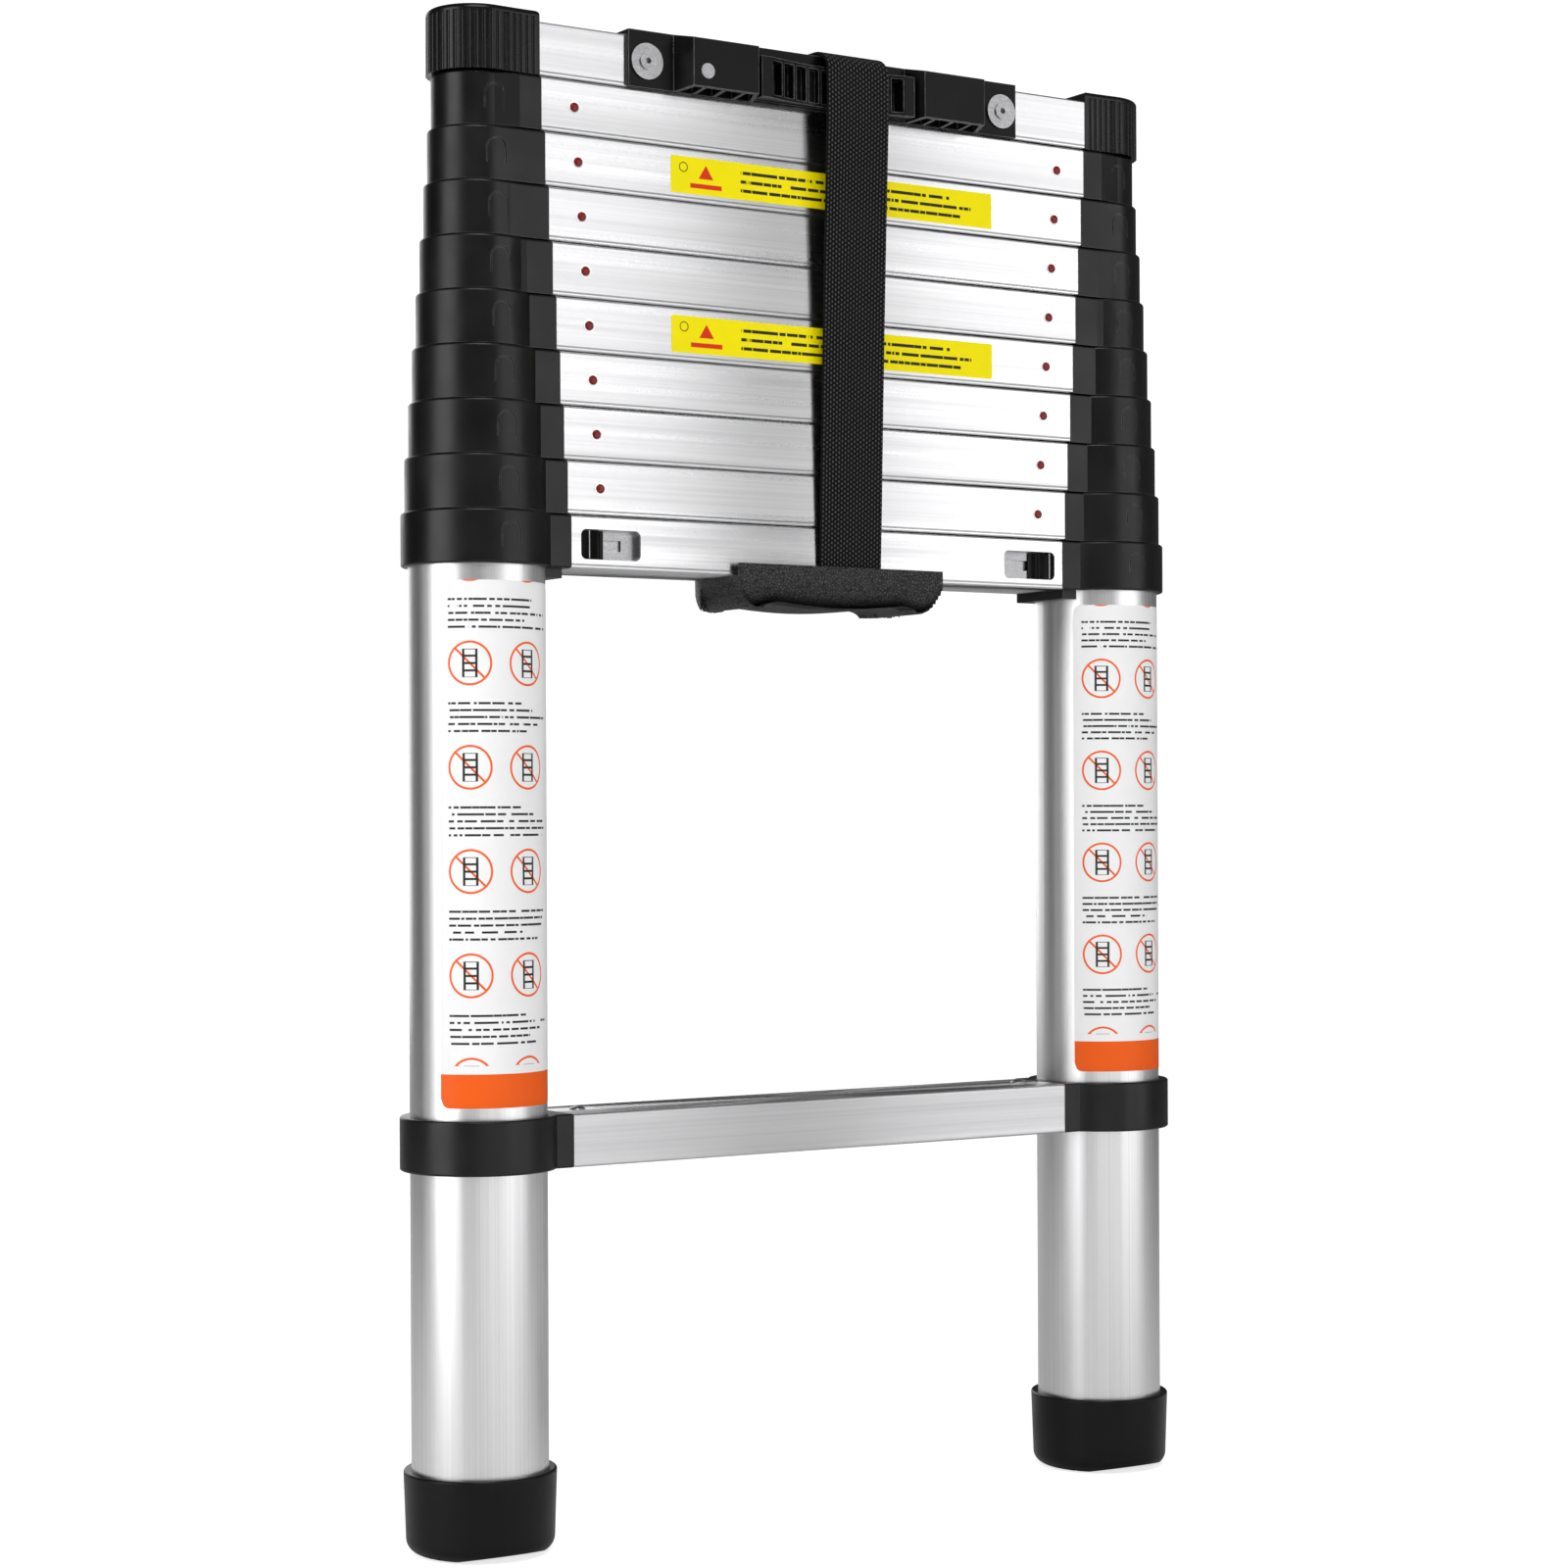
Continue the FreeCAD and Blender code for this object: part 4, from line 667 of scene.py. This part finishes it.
def model_strap():
    """Webbing extruded point by point along its route, then given its thickness and rounded edges."""
    low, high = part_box("carry_strap")
    route = strap_route()
    clear_selection()
    bpy.ops.mesh.primitive_plane_add(size=1, location=((low.x + high.x) / 2, *route[0]))
    strap = start("carry_strap_webbing")
    bpy.ops.transform.resize(value=(high.x - low.x, 0, 0))
    bpy.ops.mesh.remove_doubles(threshold=1e-6)
    bpy.ops.mesh.select_mode(type="EDGE")
    bpy.ops.mesh.select_all(action="SELECT")
    lengths = [0.0]
    for (y, z), (next_y, next_z) in zip(route, route[1:]):
        extrude(y=next_y - y, z=next_z - z)
        lengths.append(lengths[-1] + math.hypot(next_y - y, next_z - z))
    bpy.ops.object.mode_set(mode="OBJECT")

    def place(point):
        gaps = [math.hypot(point.y - y, point.z - z) for y, z in route]
        return (point.x - low.x) / MM, lengths[gaps.index(min(gaps))] / MM

    unwrap(strap, place)
    bpy.ops.object.mode_set(mode="EDIT")
    bpy.ops.mesh.select_all(action="SELECT")
    if strap.data.polygons[0].normal.y > 0:
        bpy.ops.mesh.flip_normals()
    bpy.ops.object.mode_set(mode="OBJECT")
    modify(strap, "SOLIDIFY", thickness=STRAP_THICKNESS, offset=1.0)
    round_edges(strap, 0.6 * MM, 3, 50)
    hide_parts("carry_strap")
    finish_piece(strap, "top_section", WOVEN_WEBBING)


# ---- carry grip -------------------------------------------------------------------------------

GRIP_WALL = 2.0 * MM
GRIP_WAIST = 40.0 * MM          # from the grip's middle to its two waists
GRIP_BULGE = 54.0 * MM          # and to its two bulges
WAIST_DEPTH = 0.78              # of the belly there, as a share of its deepest
MIDDLE_EXTRA = 0.15             # how much deeper it is at its middle
END_RADIUS = 10.6 * MM          # of its ends, seen from the front
BELLY_RADIUS = 15.0 * MM        # of its long lower edges
ROUND_START = 7.0 * MM          # where its ends begin to round off, from the ladder's middle plane
ROUND_REACH = 11.0 * MM         # and how far they are drawn in at the back
SLOT_REACH, SLOT_SIDE = 4.0 * MM, 7.0 * MM      # of the slots from the waists and the middle plane
SLOT_RIM, SLOT_DEPTH = 1.2 * MM, 2.4 * MM
STATIONS = [0, 8, 16, 24, 31, 36, 40, 44, 47, 50, 54, 57, 59.5, 61.5, 63, 63.9]     # mm from its middle


def grip_depth(away):
    """Depth of the belly, as a share of its deepest, this far from the grip's middle."""
    if away < GRIP_WAIST:
        return WAIST_DEPTH + MIDDLE_EXTRA * math.cos(math.pi / 2 * away / GRIP_WAIST)
    if away < GRIP_BULGE:
        share = (away - GRIP_WAIST) / (GRIP_BULGE - GRIP_WAIST)
        return WAIST_DEPTH + (1 - WAIST_DEPTH) * share * share * (3 - 2 * share)
    return math.sqrt(max(0.05, 1 - ((away - GRIP_BULGE) / END_RADIUS) ** 2))


def shape_belly(grip, middle_x, reach):
    """Gives the belly its depth at each station along the grip."""
    for away in [station * MM for station in STATIONS] + [reach]:
        def on_station(point, away=away):
            return abs(abs(point.x - middle_x) - away) < 0.05 * MM and point.z < RUNG_BOTTOM - 0.01 * MM
        pick(grip, "VERT", on_station)
        bpy.ops.transform.resize(value=(1, 1, grip_depth(away)), center_override=(0, 0, RUNG_BOTTOM))


def round_ends(grip, middle_x, reach, back):
    """Draws the ends in towards the back, as an arc seen from above."""
    levels = sorted({round(point.co.y, 6) for point in grip.data.vertices if point.co.y > ROUND_START})
    for sign in (-1, 1):
        anchor = middle_x + sign * GRIP_WAIST
        for level in levels:
            share = (level - ROUND_START) / (back - ROUND_START)
            inward = ROUND_REACH * (1 - math.sqrt(max(0.0, 1 - share * share)))

            def on_level(point, level=level, sign=sign, anchor=anchor):
                return abs(point.y - level) < 1e-6 and sign * (point.x - anchor) > 1e-5
            pick(grip, "VERT", on_level)
            bpy.ops.transform.resize(value=(1 - inward / (reach - GRIP_WAIST), 1, 1),
                                     center_override=(anchor, 0, 0))


def cut_slots(grip, middle_x):
    """A small blind slot under each waist."""
    for sign in (-1, 1):
        def under_waist(at, normal, sign=sign):
            from_waist = abs(sign * (at.x - middle_x) - GRIP_WAIST)
            return normal.z < -0.8 and from_waist < SLOT_REACH and abs(at.y) < SLOT_SIDE
        pick(grip, "FACE", under_waist)
        bpy.ops.mesh.inset(thickness=SLOT_RIM, depth=0)
        extrude(z=SLOT_DEPTH)


def model_grip():
    """A rubber saddle: a rounded belly with two waists, and a wall up each face of the lever rung."""
    low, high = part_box("carry_handle")
    centre, size = (low + high) / 2, high - low
    clear_selection()
    bpy.ops.mesh.primitive_cube_add(size=1, location=(centre.x, centre.y, (low.z + RUNG_BOTTOM) / 2),
                                    scale=(size.x, size.y, RUNG_BOTTOM - low.z))
    grip = start("carry_grip")
    divide(1, (low.y + GRIP_WALL, high.y - GRIP_WALL))
    pick(grip, "FACE", lambda at, normal: normal.z > 0.9 and abs(at.y) > high.y - GRIP_WALL)
    extrude(z=high.z - RUNG_BOTTOM)
    pick(grip, "EDGE", lambda a, b: max(a.z, b.z) < low.z + 1e-5 and abs(a.y + b.y) > 1.9 * high.y)
    bpy.ops.mesh.bevel(offset=BELLY_RADIUS, segments=9, affect="EDGES")
    divide(0, [centre.x + sign * away * MM for away in STATIONS for sign in ((-1, 1) if away else (1,))])
    divide(1, [step * 2.4 * MM for step in range(3, 11)])
    shape_belly(grip, centre.x, size.x / 2)
    round_ends(grip, centre.x, size.x / 2, high.y)
    cut_slots(grip, centre.x)
    close(40)
    round_edges(grip, 0.5 * MM, 2, 42)
    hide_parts("carry_handle")
    finish_piece(grip, "base", GRAINED_GRIP)


# ---- thumb levers -----------------------------------------------------------------------------

LEVER_STEP = 3.6 * MM           # width of the step at a lever's outer end
STEP_DEPTH = 4.2 * MM
LEVER_FLOOR = 5.7 * MM          # from the lever's front to the back of its plate
STEM_HALF = 2.5 * MM
THUMB_HOLLOW = 5.2 * MM
STRIP_WIDTH, STRIP_DEPTH, STRIP_PROUD = 0.7 * MM, 1.2 * MM, 0.15 * MM


def model_levers():
    """Thumb levers: a step at the outer end, a hollow for the thumb at the inner one."""
    low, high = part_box("lever_left")
    centre = (low + high) / 2
    front, floor = low.y, low.y + LEVER_FLOOR
    clear_selection()
    bpy.ops.mesh.primitive_cube_add(size=1, location=(centre.x, (front + floor) / 2, centre.z),
                                    scale=(high.x - low.x, LEVER_FLOOR, high.z - low.z))
    lever = start("thumb_lever_left")
    pick(lever, "EDGE", lambda a, b: max(a.x, b.x) < low.x + 1e-5 and abs(a.z - b.z) < 1e-6)
    bpy.ops.mesh.bevel(offset=2.6 * MM, segments=6, affect="EDGES")
    divide(0, (low.x + LEVER_STEP,))
    pick(lever, "FACE", lambda at, normal: normal.y < -0.9 and at.x < low.x + LEVER_STEP)
    shift(y=STEP_DEPTH)
    pick(lever, "EDGE", lambda a, b: min(a.x, b.x) > high.x - 1e-5 and max(a.y, b.y) < front + 1e-5)
    bpy.ops.mesh.bevel(offset=THUMB_HOLLOW, segments=8, profile=0.12, affect="EDGES")
    pick(lever, "FACE", lambda at, normal: normal.y > 0.9)
    bpy.ops.mesh.inset(thickness=(high.z - low.z) / 2 - STEM_HALF)
    extrude(y=high.y - floor)
    close(30)
    round_edges(lever, 0.35 * MM, 3, 38)
    twin = copy_piece(lever, "thumb_lever_right", mirror=True)
    for piece, side in ((lever, "left"), (twin, "right")):
        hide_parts(f"lever_{side}")
        finish_piece(piece, f"lever_{side}", LEVER_PLASTIC)


def model_lever_edge_and_highlight_strips():
    """A thin bright steel strip along each lever's step: partly a steel edge, partly a stand-in for the
    highlight along that edge.
    """
    low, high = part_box("lever_left")
    place = (low.x + LEVER_STEP + STRIP_WIDTH / 2, low.y + STRIP_DEPTH / 2 - STRIP_PROUD,
             (low.z + high.z) / 2)
    clear_selection()
    bpy.ops.mesh.primitive_cube_add(size=1, location=place,
                                    scale=(STRIP_WIDTH, STRIP_DEPTH, (high.z - low.z) * 0.96))
    strip = start("lever_edge_and_highlight_strip_left")
    pick(strip, "EDGE", lambda a, b: max(a.y, b.y) < low.y - STRIP_PROUD / 2)
    bpy.ops.mesh.bevel(offset=0.2 * MM, segments=3, affect="EDGES")
    close()
    twin = copy_piece(strip, "lever_edge_and_highlight_strip_right", mirror=True)
    finish_piece(strip, "lever_left", ZINC_STEEL)
    finish_piece(twin, "lever_right", ZINC_STEEL)


# ---- lock indicators --------------------------------------------------------------------------

WINDOW_INSET = 18.8 * MM        # from the rung's end
RIM_RADIUS, LENS_RADIUS = 3.3 * MM, 2.35 * MM
RIM_PROUD, RIM_CHAMFER, LENS_SEAT = 0.22 * MM, 0.25 * MM, 0.16 * MM
DOME = ((0.34, 0.97), (0.24, 0.86), (0.16, 0.72), (0.08, 0.5))      # rises in mm, each with its shrinkage


def model_indicator():
    """A bright chamfered rim with a domed lens in it, at the left window of the first sliding rung."""
    low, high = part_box("section_1_rung")
    axis_x, axis_z = low.x + WINDOW_INSET, (low.z + high.z) / 2
    clear_selection()
    bpy.ops.mesh.primitive_circle_add(vertices=28, radius=RIM_RADIUS, fill_type="NGON",
                                      location=(axis_x, RUNG_FACE, axis_z), rotation=(math.pi / 2, 0, 0))
    lamp = start("indicator_1_left")
    extrude(y=-RIM_PROUD)
    bpy.ops.mesh.inset(thickness=RIM_CHAMFER)
    bpy.ops.mesh.inset(thickness=RIM_RADIUS - LENS_RADIUS - RIM_CHAMFER)
    shift(y=LENS_SEAT)
    for rise, shrink in DOME:
        extrude(y=-rise * MM)
        bpy.ops.transform.resize(value=(shrink, 1, shrink))
    bpy.ops.mesh.select_all(action="DESELECT")
    bpy.ops.mesh.select_mode(type="VERT")
    bpy.ops.mesh.select_non_manifold()
    bpy.ops.mesh.edge_face_add()
    close(50)
    lamp.data.materials.append(BRIGHT_RIM)
    lamp.data.materials.append(RED_LENS)
    for face in lamp.data.polygons:
        away = math.hypot(face.center.x - axis_x, face.center.z - axis_z)
        face.material_index = int(away < LENS_RADIUS and face.center.y < RUNG_FACE - 0.05 * MM)
    return lamp


def place_indicators():
    """A pair on each sliding rung; every rung starts a little nearer its stile than the one below."""
    lamp = model_indicator()
    lamps = {("left", 1): lamp}
    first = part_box("section_1_rung")[0]
    for section in range(1, SECTIONS):
        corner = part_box(f"section_{section}_rung")[0]
        move = (corner.x - first.x, 0, corner.z - first.z)
        for side in SIDES:
            if (side, section) not in lamps:
                name = f"indicator_{section}_{side}"
                lamps[side, section] = copy_piece(lamp, name, move, mirror=side == "right")
    for (side, section), piece in lamps.items():
        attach(piece, f"section_{section}")


# ---- printed films ----------------------------------------------------------------------------

FILM_THICKNESS = 0.12 * MM
LABEL_FOOT, LABEL_HEAD = 6.0 * MM, 8.2 * MM     # bare tube below and above a label
LABEL_CORNER = 4.5 * MM
LABEL_COLUMNS = 144                             # facets round the whole tube
STICKER_LEFT, STICKER_RIGHT = -96.0 * MM, 107.0 * MM
STICKER_CORNER = 0.9 * MM


def label_turn(point):
    """Degrees round the left tube from its front."""
    return math.degrees(math.atan2(point.x + STILE, -point.y))


def round_label_corners(label, low, high):
    """Moves the ends of the outermost columns in along an arc."""
    pitch = 2 * math.pi * BASE_RADIUS / LABEL_COLUMNS
    for column in range(3):
        inset = LABEL_CORNER - math.sqrt(LABEL_CORNER ** 2 - (LABEL_CORNER - column * pitch) ** 2)
        for sign, end in ((1, low), (-1, high)):
            def in_corner(point, end=end, column=column):
                edge = LABEL_REACH - column * 360 / LABEL_COLUMNS
                return abs(abs(label_turn(point)) - edge) < 0.5 and abs(point.z - end) < LABEL_CORNER / 2
            pick(label, "VERT", in_corner)
            shift(z=sign * inset)


def model_tube_label():
    """Film wrapped round the front of the left base tube, and a copy on the right one."""
    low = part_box("clamp_left")[1].z + LABEL_FOOT
    high = RUNG_BOTTOM - LABEL_HEAD
    clear_selection()
    bpy.ops.mesh.primitive_cylinder_add(vertices=LABEL_COLUMNS, radius=BASE_RADIUS + 0.03 * MM,
                                        depth=high - low, end_fill_type="NOTHING",
                                        location=(-STILE, 0, (low + high) / 2))
    label = start("tube_label_left")
    pick(label, "FACE", lambda at, normal: abs(label_turn(at)) > LABEL_REACH)
    bpy.ops.mesh.delete(type="FACE")
    round_label_corners(label, low, high)
    bpy.ops.object.mode_set(mode="OBJECT")

    def place(point):
        turn = math.radians(label_turn(point) + LABEL_REACH)
        return turn * BASE_RADIUS / MM, (point.z - low) / MM

    unwrap(label, place)
    modify(label, "SOLIDIFY", thickness=FILM_THICKNESS, offset=1.0)
    smooth(30)
    twin = copy_piece(label, "tube_label_right", (2 * STILE, 0, 0))
    for piece in (label, twin):
        finish_piece(piece, "base", WHITE_FILM)


def model_rung_sticker():
    """A long sticker with rounded corners on a sliding rung, and a copy three rungs above it."""
    base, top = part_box("section_4_rung")
    middle_x, middle_z = (STICKER_LEFT + STICKER_RIGHT) / 2, (base.z + top.z) / 2
    low_z = middle_z - STICKER_HEIGHT * MM / 2
    clear_selection()
    bpy.ops.mesh.primitive_plane_add(size=1, location=(middle_x, RUNG_FACE - 0.02 * MM, middle_z),
                                     rotation=(math.pi / 2, 0, 0))
    sticker = start("rung_sticker_4")
    bpy.ops.transform.resize(value=(STICKER_RIGHT - STICKER_LEFT, 1, STICKER_HEIGHT * MM))
    bpy.ops.mesh.bevel(offset=STICKER_CORNER, segments=4, affect="VERTICES")
    bpy.ops.object.mode_set(mode="OBJECT")
    unwrap(sticker, lambda point: ((point.x - STICKER_LEFT) / MM, (point.z - low_z) / MM))
    modify(sticker, "SOLIDIFY", thickness=FILM_THICKNESS, offset=1.0)
    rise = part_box("section_7_rung")[0].z - base.z
    twin = copy_piece(sticker, "rung_sticker_7", (0, 0, rise))
    finish_piece(sticker, "section_4", YELLOW_FILM)
    finish_piece(twin, "section_7", YELLOW_FILM)


# ---- stage ------------------------------------------------------------------------------------

FLOOR_RADIUS = 9.0
FLOOR_DROP = 0.5 * MM           # below the feet
FLOOR_GLOW = 0.75
FADE_START, FADE_END = 0.7, 3.0
BACKDROP = 1.1
ROOM_FRONT, ROOM_BACK = 0.20, 0.05
LEFT_POWER, NEAR_POWER, FAR_POWER, TOP_POWER = 17.0, 6.6, 5.8, 19.0
BOUNCE_POWER, BACK_POWER = 1.4, 14.0
SOFTBOX_HEIGHT = 1.8
WHITE = (1.0, 1.0, 1.0, 1.0)


def build_floor():
    """A pale floor that fades into the backdrop."""
    clear_selection()
    bpy.ops.mesh.primitive_circle_add(vertices=96, radius=FLOOR_RADIUS, fill_type="NGON",
                                      location=(0, 0, -FLOOR_DROP))
    floor = bpy.context.object
    floor.name = "studio_floor"
    material, tree, shader = new_material("pale_floor", Roughness=0.75, Emission_Color=WHITE)
    coordinates = put(tree, "TexCoord").outputs["Object"]
    cloud = noise(tree, coordinates, 3.0, 4.0)
    seen = put(tree, "LightPath").outputs["Is Camera Ray"]
    feed(tree, shader, Base_Color=mix_colour(tree, cloud, (0.90, 0.90, 0.90), (0.94, 0.94, 0.94)),
         Emission_Strength=maths(tree, "MULTIPLY", seen, FLOOR_GLOW))
    far = put(tree, "VectorMath", {0: coordinates}, operation="LENGTH").outputs["Value"]
    clear = put(tree, "BsdfTransparent").outputs[0]
    faded = remap(tree, far, FADE_START, FADE_END)
    fading = put(tree, "MixShader", {0: faded, 1: shader.outputs[0], 2: clear})
    tree.links.new(fading.outputs[0], tree.nodes["Material Output"].inputs["Surface"])
    floor.data.materials.append(material)


def soft_light(name, place, target, size, power, height=None):
    """A square or oblong softbox turned towards its target."""
    data = bpy.data.lights.new(name, "AREA")
    data.shape = "RECTANGLE"
    data.size, data.size_y = size, height or size
    data.energy = power
    light = bpy.data.objects.new(name, data)
    bpy.context.scene.collection.objects.link(light)
    light.visible_camera = False
    light.location = place
    light.rotation_euler = (Vector(target) - Vector(place)).to_track_quat("-Z", "Y").to_euler()


def around(degrees, distance, height):
    """A place round the ladder. 0 degrees is straight in front and 90 is to its left."""
    turn = math.radians(degrees)
    return -distance * math.sin(turn), -distance * math.cos(turn), height


def front_softbox(name, start, end, power):
    """A softbox on the plane that faces the ladder from the right, between two places across it."""
    turn, distance, height = math.radians(33), 1.9, 0.55
    across = Vector((math.cos(turn), math.sin(turn), 0))
    away = Vector((math.sin(turn), -math.cos(turn), 0))
    place = away * distance + across * (start + end) / 2 + Vector((0, 0, height))
    soft_light(name, place, place - away, end - start, power, SOFTBOX_HEIGHT)


def build_lights():
    """Softboxes on the left, in front, above and behind, a low one for the floor's light, and the room."""
    soft_light("left_softbox", around(84, 1.7, 0.55), (0, 0, 0.42), 0.95, LEFT_POWER, SOFTBOX_HEIGHT)
    front_softbox("near_softbox", -0.75, -0.11, NEAR_POWER)
    front_softbox("far_softbox", 0.05, 0.60, FAR_POWER)
    soft_light("top_softbox", around(25, 1.4, 2.1), (0, 0, 0.4), 1.2, TOP_POWER)
    soft_light("floor_bounce", around(15, 0.9, 0.03), (0, 0, 0.42), 0.8, BOUNCE_POWER)
    soft_light("back_softbox", around(185, 2.2, 0.9), (0, 0, 0.4), 1.6, BACK_POWER)
    world = bpy.data.worlds.new("studio")
    bpy.context.scene.world = world
    world.use_nodes = True
    tree = world.node_tree
    tree.nodes.clear()
    direction = put(tree, "TexCoord").outputs["Generated"]
    depth = put(tree, "SeparateXYZ", {"Vector": direction}).outputs["Y"]
    level = remap(tree, depth, -1.0, 1.0, ROOM_FRONT, ROOM_BACK)
    room = put(tree, "Background", {"Color": WHITE, "Strength": level}).outputs[0]
    backdrop = put(tree, "Background", {"Color": WHITE, "Strength": BACKDROP}).outputs[0]
    seen = put(tree, "LightPath").outputs["Is Camera Ray"]
    blended = put(tree, "MixShader", {0: seen, 1: room, 2: backdrop}).outputs[0]
    put(tree, "OutputWorld", {"Surface": blended})


def build_camera():
    """Low on the left, level, a long lens; it is turned a quarter of a degree about its own axis."""
    data = bpy.data.cameras.new("camera")
    data.sensor_width, data.lens, data.shift_y = 36.0, 74.63, 0.0206
    camera = bpy.data.objects.new("camera", data)
    bpy.context.scene.collection.objects.link(camera)
    camera.location = (-0.94875, -1.44660, 0.36514)
    camera.rotation_euler = (math.pi / 2, 0.0045, -0.5737)
    bpy.context.scene.camera = camera
    bpy.context.scene.view_settings.view_transform = "Standard"


dress_frame()
model_strap()
model_grip()
model_levers()
model_lever_edge_and_highlight_strips()
place_indicators()
model_tube_label()
model_rung_sticker()
build_floor()
build_lights()
build_camera()
